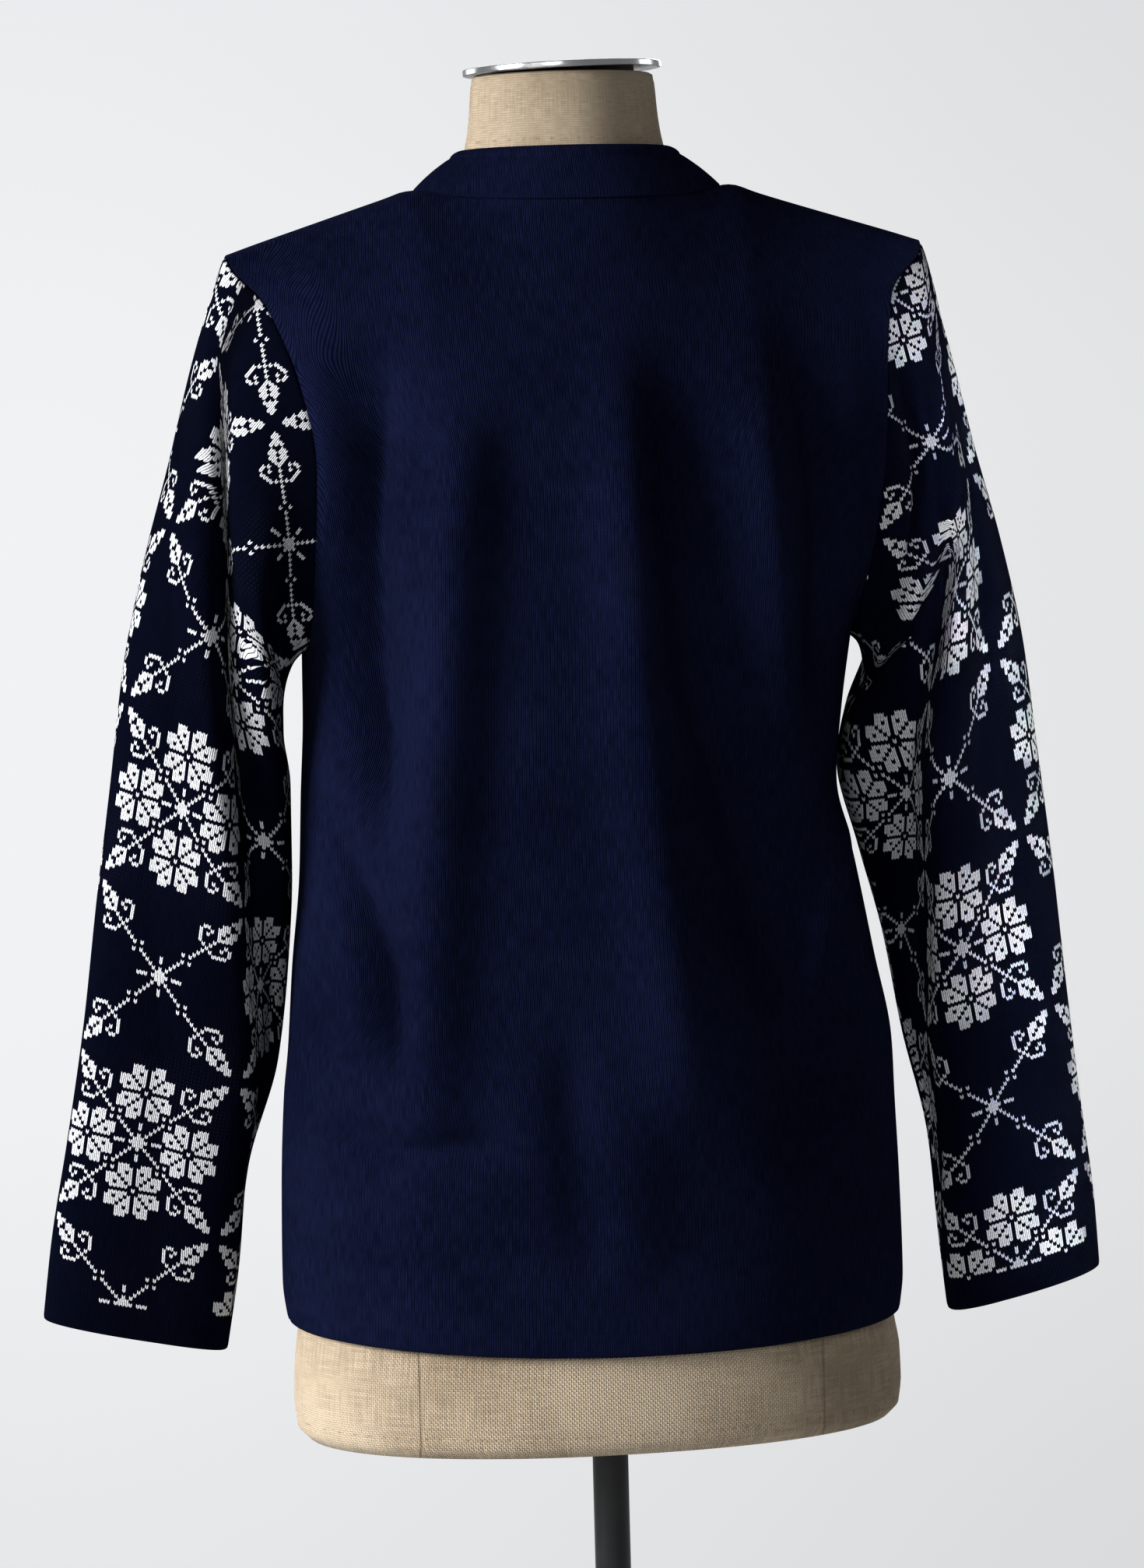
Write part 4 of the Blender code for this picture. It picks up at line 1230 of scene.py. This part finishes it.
@dataclass
class Cardigan:
    """The garment: back, fronts, sleeves, neckband, button bands and buttons."""

    body: BodyShape
    form: FormShape
    finishes: Finishes
    rib_stitch: tuple[float, float] = (0.0020, 0.0017)
    band_half: float = 0.015
    band_seam: float = 0.0024
    band_top_z: float = 1.5210
    band_top_drop: float = 0.052
    band_front_spread: float = 0.018
    band_front_room: float = 0.0045
    band_bulge: float = 0.0015
    neck_gap: float = 0.0006
    roll_from: float = 0.82
    roll_height: float = 0.0012
    band_rows: int = 12
    roll_rows: int = 8
    band_columns: int = 150
    trim_first: tuple[float, float] = (0.0, 40.0)
    ease_reach: float = 0.045
    ease_rounds: int = 60
    button_radius: float = 0.0075
    button_thick: float = 0.0028
    button_seat: float = 0.0005
    button_dish: float = 0.0006
    button_bevel: float = 0.0006
    hole_at: float = 0.0015
    hole_radius: float = 0.0008
    thread_reach: float = 0.0026
    thread_radius: float = 0.0005
    thread_sunk: float = 0.0005
    button_low_z: float = 0.895
    button_high_z: float = 1.405
    button_count: int = 7
    sleeve_power: float = 2.15
    cap_share: float = 0.20
    back_columns: int = 76
    front_columns: int = 42
    lower_rows: int = 68
    upper_rows: int = 44
    sleeve_columns: int = 96
    sleeve_rows: int = 116
    sleeve_table: tuple[SleeveRow, ...] = (
        SleeveRow(1.440, 0.2085, 1.2440, 0.1705, 0.1700, -0.0385, 0.068),
        SleeveRow(1.400, 0.2190, 1.2350, 0.1730, 0.1730, -0.0385, 0.062),
        SleeveRow(1.350, 0.2300, 1.2180, 0.1735, 0.1715, -0.0400, 0.055),
        SleeveRow(1.295, 0.2455, 1.1950, 0.1735, 0.1590, -0.0430, 0.048),
        SleeveRow(1.235, 0.2590, 1.1650, 0.1700, 0.1530, -0.0480, 0.042),
        SleeveRow(1.170, 0.2680, 1.1180, 0.1700, 0.1650, -0.0560, 0.037),
        SleeveRow(1.100, 0.2780, 1.0650, 0.1725, 0.1800, -0.0670, 0.033),
        SleeveRow(1.030, 0.2870, 1.0050, 0.1790, 0.1920, -0.0800, 0.030),
        SleeveRow(0.960, 0.2980, 0.9400, 0.1960, 0.2090, -0.0990, 0.028),
        SleeveRow(0.900, 0.3085, 0.8800, 0.2030, 0.2165, -0.1150, 0.026),
        SleeveRow(0.851, 0.3145, 0.8290, 0.2110, 0.2240, -0.1290, 0.024),
    )
    drapes: dict[Side, SleeveDrape] = field(default_factory=lambda: dict(DRAPES))

    def body_rows(self) -> list[float]:
        """Row numbers from the hem to the top edge."""
        lower = [i / self.lower_rows for i in range(self.lower_rows)]
        upper = [1 + math.sin(math.pi / 2 * i / self.upper_rows) for i in range(self.upper_rows + 1)]
        return lower + upper

    def ease_neck(self, points: np.ndarray) -> np.ndarray:
        """Even out a panel below the corner of its neck, with its edges held."""
        rows = np.array(self.body_rows())[:, None]
        weight = np.exp(-(((np.abs(points[:, :, 0]) - self.body.neck_x) / self.ease_reach) ** 2))
        weight = weight * np.clip((rows - 1.45) / 0.3, 0.0, 1.0)
        for _ in range(self.ease_rounds):
            inner = (points[:-2, 1:-1] + points[2:, 1:-1] + points[1:-1, :-2] + points[1:-1, 2:]) / 4
            change = weight[1:-1, 1:-1, None] * (inner - points[1:-1, 1:-1])
            points[1:-1, 1:-1] += change * np.array([0, 1, 0])
        return points

    def back(self) -> bpy.types.Object:
        """The back panel."""
        rows = []
        for row in self.body_rows():
            line = []
            for i in range(self.back_columns + 1):
                turn = math.pi / 2 - math.pi * i / self.back_columns
                side = 1 if turn >= 0 else -1
                line.append(self.body.point(1, self.body.row_half(row, side) * math.sin(turn), row))
            rows.append(line)
        points = self.ease_neck(np.array(rows))
        sheet = Sheet.laid_flat(points, [self.back_columns / 2] * len(rows), self.rib_stitch)
        piece = sheet.piece("back", self.finishes.rib)
        self.declare(piece, "back_panel")
        return piece

    def front(self, side: Side) -> bpy.types.Object:
        """One front panel, from its button band to the side seam."""
        edge = self.band_half + SEAM
        rows = []
        for row in self.body_rows():
            half = self.body.row_half(row, side.value)
            inner = math.asin(edge / half)
            turns = [
                inner + (math.pi / 2 - inner) * i / self.front_columns
                for i in range(self.front_columns + 1)
            ]
            line = [self.body.point(-1, side.value * half * math.sin(turn), row) for turn in turns]
            rows.append(line if side is Side.LEFT else line[::-1])
        start = 0 if side is Side.LEFT else self.front_columns
        sheet = Sheet.laid_flat(np.array(rows), [start] * len(rows), self.rib_stitch)
        name = f"front_{side.name.lower()}"
        piece = sheet.piece(f"{name}_knit", self.finishes.rib)
        self.declare(piece, name)
        return piece

    def declare(self, piece: bpy.types.Object, node: str) -> None:
        """Attach a cloth piece to the root body and hide the solid that it stands for.

        Args:
            piece: The piece.
            node: The solid that it stands for.
        """
        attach(piece, "root")
        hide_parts(node)

    def neck_point(self, turn: float, rise: float) -> Vector:
        """The neckband from its seam, rise 0, to its top edge, rise 1; turn 0 is the back."""
        face = 1 if math.cos(turn) >= 0 else -1
        outward = Vector((math.sin(turn), math.cos(turn), 0.0))
        forward = max(-outward.y, 0.0) ** 1.2
        z, y = self.body.top_point(face, self.body.neck_x * outward.x)
        steep = abs(outward.x) * forward
        low = Vector((self.body.neck_x * outward.x, y, z - 0.0006 + self.band_seam * steep))
        low -= outward * (0.9 * WALL * outward.x ** 2 + self.band_seam * 2 * steep)
        z = self.band_top_z - self.band_top_drop * forward
        middle = (self.form.back(z) + self.form.front(z)) / 2
        reach = (self.form.back(z) - self.form.front(z)) / 2 + self.neck_gap + self.band_front_room * forward
        half = self.form.half(self.band_top_z) + self.neck_gap + self.band_front_spread * forward
        top = Vector((half * outward.x, middle + reach * outward.y, z))
        bulge = self.band_bulge * math.sin(math.pi * rise)
        roll = (rise - self.roll_from) / (1 - self.roll_from)
        if roll > 0:
            bulge += self.roll_height * math.sin(math.pi * min(roll, 1.0)) ** 0.6
        return low.lerp(top, rise) + (outward + Vector((0.0, 0.0, 0.4))) * bulge

    def neckband(self) -> bpy.types.Object:
        """The ribbed neckband with its rolled top edge."""
        roll = 1 - self.roll_from
        rises = [self.roll_from * i / self.band_rows for i in range(self.band_rows)]
        rises += [self.roll_from + roll * i / self.roll_rows for i in range(self.roll_rows + 1)]
        rows = []
        for rise in rises:
            gap = 0.2
            for _ in range(4):
                gap *= (self.band_half + SEAM) / self.neck_point(math.pi - gap, rise).x
            reach = math.pi - gap
            turns = [reach - 2 * reach * i / self.band_columns for i in range(self.band_columns + 1)]
            rows.append([self.neck_point(turn, rise) for turn in turns])
        starts = [self.band_columns / 2] * len(rows)
        sheet = Sheet.laid_flat(np.array(rows), starts, self.rib_stitch, self.trim_first)
        piece = sheet.piece("neckband_knit", self.finishes.rib)
        self.declare(piece, "neckband")
        return piece

    def button_band(self, name: str, half: float, raised: float) -> bpy.types.Object:
        """One button band, from the hem to the neckband's top edge.

        Args:
            name: The node's name.
            half: Half its width.
            raised: How far it lies above the fronts.

        Returns:
            The band.
        """
        across = [half * (i / 4 - 1) for i in range(9)]
        rows = [[self.body.point(-1, x, row, raised) for x in across] for row in self.body_rows()]
        slope = self.neck_point(math.pi, 1.0) - self.neck_point(math.pi, 0.0)
        outward = Vector((0.0, -slope.z, slope.y)).normalized()
        for rise in (0.15, 0.3, 0.45, 0.6, 0.75, 0.88, 1.0):
            points = [self.neck_point(math.pi - x / self.body.neck_x, rise) for x in across]
            rows.append([Vector((x, p.y, p.z)) + outward * raised for x, p in zip(across, points)])
        sheet = Sheet.laid_flat(np.array(rows), [4] * len(rows), self.rib_stitch, self.trim_first)
        piece = sheet.piece(f"{name}_knit", self.finishes.rib)
        self.declare(piece, name)
        return piece

    def armhole_point(self, side: int, angle: float) -> Vector:
        """Where the sleeve is sewn in; angle 0 is the shoulder tip, 90 the back, 180 the underarm."""
        face = 1 if math.sin(angle) >= 0 else -1
        row = 1 + (1 + math.cos(angle)) / 2
        return self.body.point(face, side * self.body.row_half(row, side), row)

    def sleeve_point(
        self, side: Side, share: float, angle: float, tables: Sequence[Callable[[float], float]]
    ) -> Vector:
        """The sleeve's skin.

        Args:
            side: The wearer's side.
            share: From 0 at the armhole to 1 at the cuff.
            angle: From the outer line towards the back.
            tables: The sleeve's columns, read by the outer line's height.

        Returns:
            The point.
        """
        cuff_z, first_z = self.sleeve_table[-1].z_outer, self.sleeve_table[0].z_outer
        z_outer = first_z + (cuff_z - first_z) * share
        x_outer, z_inner, x_inner, y, depth = (read(z_outer) for read in tables)
        outer = Vector((x_outer, z_outer))
        inner = Vector((x_inner, z_inner))
        middle = (outer + inner) / 2
        reach = (outer - inner) / 2
        c, s = math.cos(angle), math.sin(angle)
        size = (abs(c) ** self.sleeve_power + abs(s) ** self.sleeve_power) ** (-1 / self.sleeve_power)
        drape = self.drapes[side]
        lift = drape.lift(share, math.degrees(angle) % 360)
        flat = middle + reach * (c * size * (1 + 0.4 * lift / reach.length))
        sway = drape.sway * share ** 1.5
        return Vector((side.value * (flat.x + sway), y + s * size * (depth + lift), flat.y))

    def sleeve_sheet(self, side: Side) -> Sheet:
        """A sleeve's points from its cuff up, and their stitches."""
        sign = side.value
        drape = self.drapes[side]
        names = ("x_outer", "z_inner", drape.column, "y", "depth")
        tables = [smooth_between(self.sleeve_table, "z_outer", name) for name in names]
        angles = [math.pi * (2 * i / self.sleeve_columns - 1) for i in range(self.sleeve_columns + 1)]
        if side is Side.RIGHT:
            angles.reverse()
        starts = [
            self.armhole_point(sign, angle) - self.sleeve_point(side, 0.0, angle, tables)
            for angle in angles
        ]
        shares = [1 - i / self.sleeve_rows for i in range(self.sleeve_rows + 1)]
        rows = []
        for share in shares:
            pull = max(1 - share / self.cap_share, 0.0) ** 2
            rows.append([
                self.sleeve_point(side, share, angle, tables) + start * pull
                for angle, start in zip(angles, starts)
            ])
        middles = [float(np.interp(share, *zip(*drape.wale))) for share in shares]
        start = [self.sleeve_columns * (0.5 + sign * middle / 360) for middle in middles]
        sheet = Sheet.laid_flat(np.array(rows), start, drape.stitch, drape.first)
        self.tuck(sheet, shares, np.degrees(angles), drape.tuck, sign)
        self.turn_knit(sheet, shares, np.degrees(angles), drape.turned)
        return sheet

    @staticmethod
    def tuck(
        sheet: Sheet, shares: Sequence[float], turns: np.ndarray, path: Sequence[Tuck], sign: int
    ) -> None:
        """Take the stitches that a deep crease hides out of the pattern.

        Args:
            sheet: The sleeve.
            shares: Each row's share of the length.
            turns: Each column's angle in degrees.
            path: The crease.
            sign: Which way the columns run.
        """
        columns = list(zip(*path))
        for i, share in enumerate(shares):
            angle, stitches, rows = (np.interp(share, columns[0], column) for column in columns[1:])
            past = np.clip((turns - angle) / 8 + 0.5, 0.0, 1.0)
            past *= np.clip((230 - np.abs(turns)) / 60, 0.0, 1.0) * (turns > 0)
            sheet.stitches[i, :, 0] += sign * stitches * past
            sheet.stitches[i, :, 1] += rows * past

    @staticmethod
    def turn_knit(
        sheet: Sheet, shares: Sequence[float], turns: np.ndarray, patch: TurnedKnit
    ) -> None:
        """Turn the knit between a sleeve's upper crease and its armhole.

        Args:
            sheet: The sleeve.
            shares: Each row's share of the length.
            turns: Each column's angle in degrees.
            patch: How the knit lies there.
        """
        turn = math.radians(patch.degrees)
        across = (patch.x - sheet.points[:, :, 0]) / patch.stitch
        along = (sheet.points[:, :, 2] - patch.z) / patch.stitch
        column = patch.column + across * math.cos(turn) - along * math.sin(turn)
        row = patch.row + across * math.sin(turn) + along * math.cos(turn)
        for i, share in enumerate(shares):
            crease = np.interp(share, *zip(*patch.crease))
            weight = np.clip((turns - crease + 2) / 8, 0.0, 1.0) * np.clip((185 - turns) / 30, 0.0, 1.0)
            weight = weight * (1 - smoothstep(share, patch.ends[0], patch.ends[1]))
            for k, value in ((0, column), (1, row)):
                sheet.stitches[i, :, k] += weight * (value[i] - sheet.stitches[i, :, k])

    def sleeve(self, side: Side) -> bpy.types.Object:
        """One sleeve, a tube from its armhole to its cuff, seamed at the underarm."""
        sheet = self.sleeve_sheet(side)
        name = f"sleeve_{side.name.lower()}"
        piece = sheet.piece(f"{name}_knit", self.finishes.jacquard, closed=True)
        self.declare(piece, name)
        return piece

    def buttons(self) -> list[bpy.types.Object]:
        """The sewn-on buttons."""
        made = []
        span = self.button_high_z - self.button_low_z
        for i in range(self.button_count):
            z = self.button_low_z + span * i / (self.button_count - 1)
            if z <= self.body.underarm_z:
                row = (z - self.body.hem_z) / (self.body.underarm_z - self.body.hem_z)
            else:
                row = 1 + (z - self.body.underarm_z) / (self.body.top_point(-1, 0)[0] - self.body.underarm_z)
            here = self.body.point(-1, 0, row)
            slope = (self.body.point(-1, 0, row + 0.02) - here).normalized()
            out = Vector((0, -slope.z, slope.y))
            centre = here + out * (WALL + self.button_seat)
            place = Matrix.Translation(centre) @ out.to_track_quat("Z", "Y").to_matrix().to_4x4()
            button = self.button(f"sewn_button_{i + 1}")
            thread = self.button_thread(f"button_thread_{i + 1}")
            for piece, slot in ((button, "button"), (thread, "navy_knit")):
                moved(piece, place)
                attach(piece, "root")
                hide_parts(f"button_{i + 1}")
                made.append(piece)
        return made

    def button_thread(self, name: str) -> bpy.types.Object:
        """The crossed thread between a button's four holes."""
        mesh = bmesh.new()
        size = Matrix.Diagonal((self.thread_reach, self.thread_radius, self.thread_radius, 1.0))
        lift = Matrix.Translation((0.0, 0.0, self.button_thick - self.thread_sunk))
        for turn in (math.pi / 4, -math.pi / 4):
            place = lift @ Matrix.Rotation(turn, 4, "Z") @ size
            bmesh.ops.create_uvsphere(mesh, u_segments=12, v_segments=8, radius=1.0, matrix=place)
        piece = new_object(name, mesh, self.finishes.navy_thread)
        piece.data.shade_smooth()
        return piece

    def button(self, name: str) -> bpy.types.Object:
        """One four-hole button, flat on Z, dished inside its rim."""
        radius, thick = self.button_radius, self.button_thick
        mesh = bmesh.new()
        bmesh.ops.create_circle(mesh, cap_ends=False, segments=40, radius=radius)
        for x, y in ((1, 1), (-1, 1), (-1, -1), (1, -1)):
            hole = Matrix.Translation((x * self.hole_at, y * self.hole_at, 0.0))
            bmesh.ops.create_circle(
                mesh, cap_ends=False, segments=12, radius=self.hole_radius, matrix=hole
            )
        bmesh.ops.triangle_fill(mesh, use_beauty=True, edges=mesh.edges[:])
        grown = bmesh.ops.extrude_face_region(mesh, geom=mesh.faces[:])
        top = [item for item in grown["geom"] if isinstance(item, bmesh.types.BMVert)]
        bmesh.ops.translate(mesh, vec=(0.0, 0.0, thick), verts=top)
        bmesh.ops.recalc_face_normals(mesh, faces=mesh.faces[:])
        for vertex in mesh.verts:
            reach = math.hypot(vertex.co.x, vertex.co.y)
            if vertex.co.z > thick / 2 and reach < radius * 0.9:
                vertex.co.z -= self.button_dish
        rim = [e for e in mesh.edges if all(math.hypot(v.co.x, v.co.y) > radius * 0.99 for v in e.verts)]
        flat_rim = [e for e in rim if abs(e.verts[0].co.z - e.verts[1].co.z) < 0.0001]
        bmesh.ops.bevel(
            mesh, geom=flat_rim, offset=self.button_bevel, offset_type="OFFSET",
            affect="EDGES", segments=3, profile=0.5, material=-1,
        )
        piece = new_object(name, mesh, self.finishes.button)
        sharpen(piece, 50.0)
        return piece


@dataclass
class DressForm:
    """The linen-covered form with its chrome cap, pole and base."""

    form: FormShape
    finishes: Finishes
    columns: int = 120
    rows: int = 150
    thread: float = 0.0013
    cover: float = 0.0005
    widest_z: float = 0.83
    cap_radius: float = 0.0565
    cap_thick: float = 0.0050
    cap_spacer: float = 0.0006
    cap_spacer_radius: float = 0.041
    disc_thick: float = 0.0036
    disc_edge: float = 0.0006
    cap_tilt: float = math.radians(1.5)
    touch: float = 0.00002
    cap_seat: float = -0.0002
    pole_radius: float = 0.0102
    base_radius: float = 0.170
    base_thick: float = 0.012
    base_edge: float = 0.004
    base_middle: float = 0.06

    def torso(self) -> bpy.types.Object:
        """The form itself, kept inside its solid wherever that was drawn in under the cloth."""
        solid = frame_tree("dress_form")
        low, high = self.form.rows[0].z, self.form.rows[-1].z
        heights = [low + (high - low) * i / self.rows for i in range(self.rows + 1)]
        heights = sorted(set(heights + [row.z for row in self.form.rows[:3] + self.form.rows[-3:]]))
        lines = []
        for z in heights:
            middle = self.form.middle(z)
            line = []
            for i in range(self.columns + 1):
                spoke = self.form.spoke(z, -2 * math.pi * i / self.columns)
                reach = solid.ray_cast(middle, spoke)[3] or spoke.length
                share = min(1.0, (reach + self.cover) / spoke.length)
                line.append(middle + spoke * share)
            lines.append(line)
        points = np.array(lines)
        widest = points[np.abs(points[:, 0, 2] - self.widest_z).argmin()]
        arc = np.concatenate([[0.0], np.cumsum(np.linalg.norm(np.diff(widest, axis=0), axis=1))])
        across = np.broadcast_to(arc, points.shape[:2])
        sheet = Sheet(points, np.stack([across, points[:, :, 2]], axis=2) / self.thread)
        piece = sheet.piece("torso", self.finishes.linen, closed=True, wall=0.0)
        piece.modifiers.clear()
        mesh = bmesh.new()
        mesh.from_mesh(piece.data)
        bmesh.ops.holes_fill(mesh, edges=mesh.edges[:], sides=0)
        mesh.to_mesh(piece.data)
        mesh.free()
        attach(piece, "root")
        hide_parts("dress_form")
        return piece

    def cap(self) -> list[bpy.types.Object]:
        """The thin chrome disc on the neck and the smaller spacer under it."""
        top = self.cap_spacer + self.cap_thick
        low = top - self.disc_thick
        edge = self.disc_edge
        outer = self.cap_radius
        upper = [
            (outer - edge * (1 - math.sin(a)), top - edge * (1 - math.cos(a)))
            for a in (math.pi / 2 * k / 4 for k in range(5))
        ]
        profile = [(0.0, top), (outer * 0.5, top), (outer - 3 * edge, top), *upper]
        profile += [(r, low + top - z) for r, z in reversed(upper)]
        profile += [(outer - 3 * edge, low), (outer * 0.5, low), (0.0, low)]
        disc = turned("chrome_disc", profile, self.finishes.chrome, 128)
        under = low - self.touch
        spacer = [(0.0, under), (self.cap_spacer_radius, under), (self.cap_spacer_radius, 0.0), (0.0, 0.0)]
        neck = self.form.rows[-1]
        place = Matrix.Translation((0.0, (neck.back + neck.front) / 2, neck.z + self.cap_seat))
        place = place @ Matrix.Rotation(self.cap_tilt, 4, "Y")
        pieces = [disc, turned("cap_spacer", spacer, self.finishes.felt, 64)]
        seated = [vertex for vertex in pieces[1].data.vertices if vertex.co.z < under / 2]
        for piece in pieces:
            sharpen(moved(piece, place))
        for vertex in seated:
            vertex.co.z = neck.z + self.touch
        for piece in pieces:
            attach(piece, "root")
            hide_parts("neck_cap")
        return pieces

    def stand(self) -> list[bpy.types.Object]:
        """The pole and the round base plate."""
        low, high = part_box("pole")
        radius = self.pole_radius
        profile = [(0.0, high[2]), (radius, high[2])]
        profile += [(radius, low[2] + (high[2] - low[2]) * (1 - k / 8)) for k in range(1, 8)]
        profile += [(radius, low[2]), (0.0, low[2])]
        pole = turned("steel_pole", profile, self.finishes.black, 64)
        outer, thick, edge = self.base_radius, self.base_thick, self.base_edge
        rim = [
            (outer - edge * (1 - math.sin(a)), thick - edge * (1 - math.cos(a)))
            for a in (math.pi / 2 * k / 6 for k in range(7))
        ]
        disc = [(0.0, thick), (self.base_middle, thick), *rim, (outer, 0.0), (0.0, 0.0)]
        plate = turned("steel_base", disc, self.finishes.black, 128)
        for piece, node in ((pole, "pole"), (plate, "base_plate")):
            sharpen(piece)
            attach(piece, "root")
            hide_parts(node)
        return [pole, plate]


def frame_tree(node: str) -> BVHTree:
    """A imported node's surface, as a tree that rays are cast at."""
    data = bpy.data.objects[node].data
    points = [vertex.co for vertex in data.vertices]
    return BVHTree.FromPolygons(points, [polygon.vertices for polygon in data.polygons])


class Lamp(NamedTuple):
    """A soft area light: where it stands, what it faces, its width and its watts.

    One with a height is a narrow strip, turned about its own aim, whose light hardly spreads.
    """

    name: str
    place: Place
    aim: Place
    size: float
    power: float
    roll: float = 0.0
    height: float = 0.0
    spread: float = math.pi

    def hang(self) -> None:
        """Put the light in the scene."""
        data = bpy.data.lights.new(self.name, "AREA")
        data.shape = "SQUARE"
        data.size = self.size
        data.energy = self.power
        if self.height > 0:
            data.shape = "RECTANGLE"
            data.size_y = self.height
            data.spread = self.spread
        lamp = bpy.data.objects.new(self.name, data)
        lamp.location = self.place
        direction = Vector(self.aim) - Vector(self.place)
        turn = direction.to_track_quat("-Z", "Y").to_matrix() @ Matrix.Rotation(self.roll, 3, "Z")
        lamp.rotation_euler = turn.to_euler()
        bpy.context.scene.collection.objects.link(lamp)


@dataclass
class Studio:
    """Floor, soft lights, surroundings and the camera at the photograph's angle."""

    azimuth: float = math.radians(171.0)
    pitch: float = math.radians(4.25)
    roll: float = math.radians(1.5)
    distance: float = 3.0
    eye: float = 1.386
    aside: float = -0.0119
    lens: float = 121.87
    sensor: float = 36.0
    floor_radius: float = 2.6
    backdrop: Colour = (0.900, 0.905, 0.915)
    side_fade: tuple[float, float] = (-0.34, -0.05)
    foot_fade: tuple[float, float] = (-0.24, -0.10)
    sky_fade: tuple[float, float] = (-0.02, 0.09)
    mirrored: float = 0.45
    ambient: float = 0.11
    gamma: float = 0.84
    lamps: tuple[Lamp, ...] = (
        Lamp("Key", (3.05, 0.95, 2.1), (0.0, 0.0, 1.15), 1.2, 170.0),
        Lamp("Second", (1.1, 3.0, 2.0), (-0.1, 0.0, 1.10), 0.9, 24.0),
        Lamp("Rim", (2.0, -2.6, 1.8), (0.0, 0.0, 1.2), 1.4, 16.0),
        Lamp("Front", (-1.0, -3.3, 2.2), (0.0, 0.0, 1.1), 1.4, 46.0),
        Lamp(
            "Sleeve light", (0.1, 3.0, 1.5), (-0.262, -0.08, 1.14), 0.04, 0.25,
            roll=math.radians(7.0), height=0.60, spread=math.radians(2.4),
        ),
        Lamp("Right rim", (-3.0, -0.9, 1.7), (0.0, 0.0, 1.1), 1.2, 18.0),
    )

    def camera(self) -> None:
        """Place the camera."""
        forward = Vector((-math.sin(self.azimuth), math.cos(self.azimuth), 0.0))
        right = Vector((math.cos(self.azimuth), math.sin(self.azimuth), 0.0))
        place = -forward * self.distance + right * self.aside + Vector((0.0, 0.0, self.eye))
        aim = forward * math.cos(self.pitch) - Vector((0.0, 0.0, math.sin(self.pitch)))
        up = right.cross(aim)
        turned_right = right * math.cos(self.roll) - up * math.sin(self.roll)
        turned_up = up * math.cos(self.roll) + right * math.sin(self.roll)
        data = bpy.data.cameras.new("Studio camera")
        data.lens = self.lens
        data.sensor_width = self.sensor
        camera = bpy.data.objects.new("Studio camera", data)
        bpy.context.scene.collection.objects.link(camera)
        turn = Matrix((turned_right, turned_up, -aim)).transposed()
        camera.matrix_world = Matrix.Translation(place) @ turn.to_4x4()
        bpy.context.scene.camera = camera

    def floor(self) -> None:
        """A pale round floor."""
        mesh = bmesh.new()
        bmesh.ops.create_circle(mesh, cap_ends=True, segments=96, radius=self.floor_radius)
        new_object("floor", mesh, StudioFloor().make())

    def surroundings(self) -> None:
        """A pale backdrop all round, which lights the object only faintly."""
        world = bpy.data.worlds.new("Studio")
        world.use_nodes = True
        tree = world.node_tree
        background = tree.nodes["Background"]
        direction = tree.nodes.new("ShaderNodeTexCoord")
        split = tree.nodes.new("ShaderNodeSeparateXYZ")
        tree.links.new(direction.outputs["Generated"], split.inputs[0])
        across, _, up = (Signal(tree, output) for output in split.outputs)
        shade = across.eased(*self.side_fade) * 0.13 + 0.87
        shade = shade * (up.eased(*self.foot_fade) * 0.09 + 0.91)
        shade = shade * (up.eased(*self.sky_fade) * -0.05 + 1.0)
        colour = tree.nodes.new("ShaderNodeMix")
        colour.data_type = "RGBA"
        tree.links.new(shade.socket, colour.inputs["Factor"])
        low, high = (s for s in colour.inputs if s.type == "RGBA")
        low.default_value = (0.0, 0.0, 0.0, 1.0)
        high.default_value = (*self.backdrop, 1.0)
        mixed = next(s for s in colour.outputs if s.type == "RGBA")
        tree.links.new(mixed, background.inputs["Color"])
        path = tree.nodes.new("ShaderNodeLightPath")
        seen = Signal(tree, path.outputs["Is Camera Ray"])
        mirrored = Signal(tree, path.outputs["Is Glossy Ray"])
        strength = seen.math("MAXIMUM", mirrored * self.mirrored).math("MAXIMUM", self.ambient)
        tree.links.new(strength.socket, background.inputs["Strength"])
        bpy.context.scene.world = world

    def build(self) -> None:
        """Set everything up."""
        self.camera()
        self.floor()
        self.surroundings()
        for lamp in self.lamps:
            lamp.hang()
        view = bpy.context.scene.view_settings
        view.view_transform = "Standard"
        view.look = "None"
        view.gamma = self.gamma


def main() -> None:
    """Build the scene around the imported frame."""
    logging.basicConfig(level=logging.INFO, format="%(message)s")
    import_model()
    finishes = Finishes()
    form = FormShape()
    cardigan = Cardigan(BodyShape(form), form, finishes)
    Studio().build()
    pieces = [cardigan.back(), cardigan.neckband()]
    for side in Side:
        pieces += [cardigan.front(side), cardigan.sleeve(side)]
    pieces.append(cardigan.button_band("button_band_right", cardigan.band_half, 0.0))
    pieces.append(cardigan.button_band("button_band_left", cardigan.band_half - 0.001, -WALL - 2 * SEAM))
    pieces += cardigan.buttons()
    stand = DressForm(form, finishes)
    pieces += [stand.torso(), *stand.cap(), *stand.stand()]
    for piece in pieces:
        LOG.info("%s: %d faces", piece.name, len(piece.data.polygons))


if __name__ == "__main__":
    main()
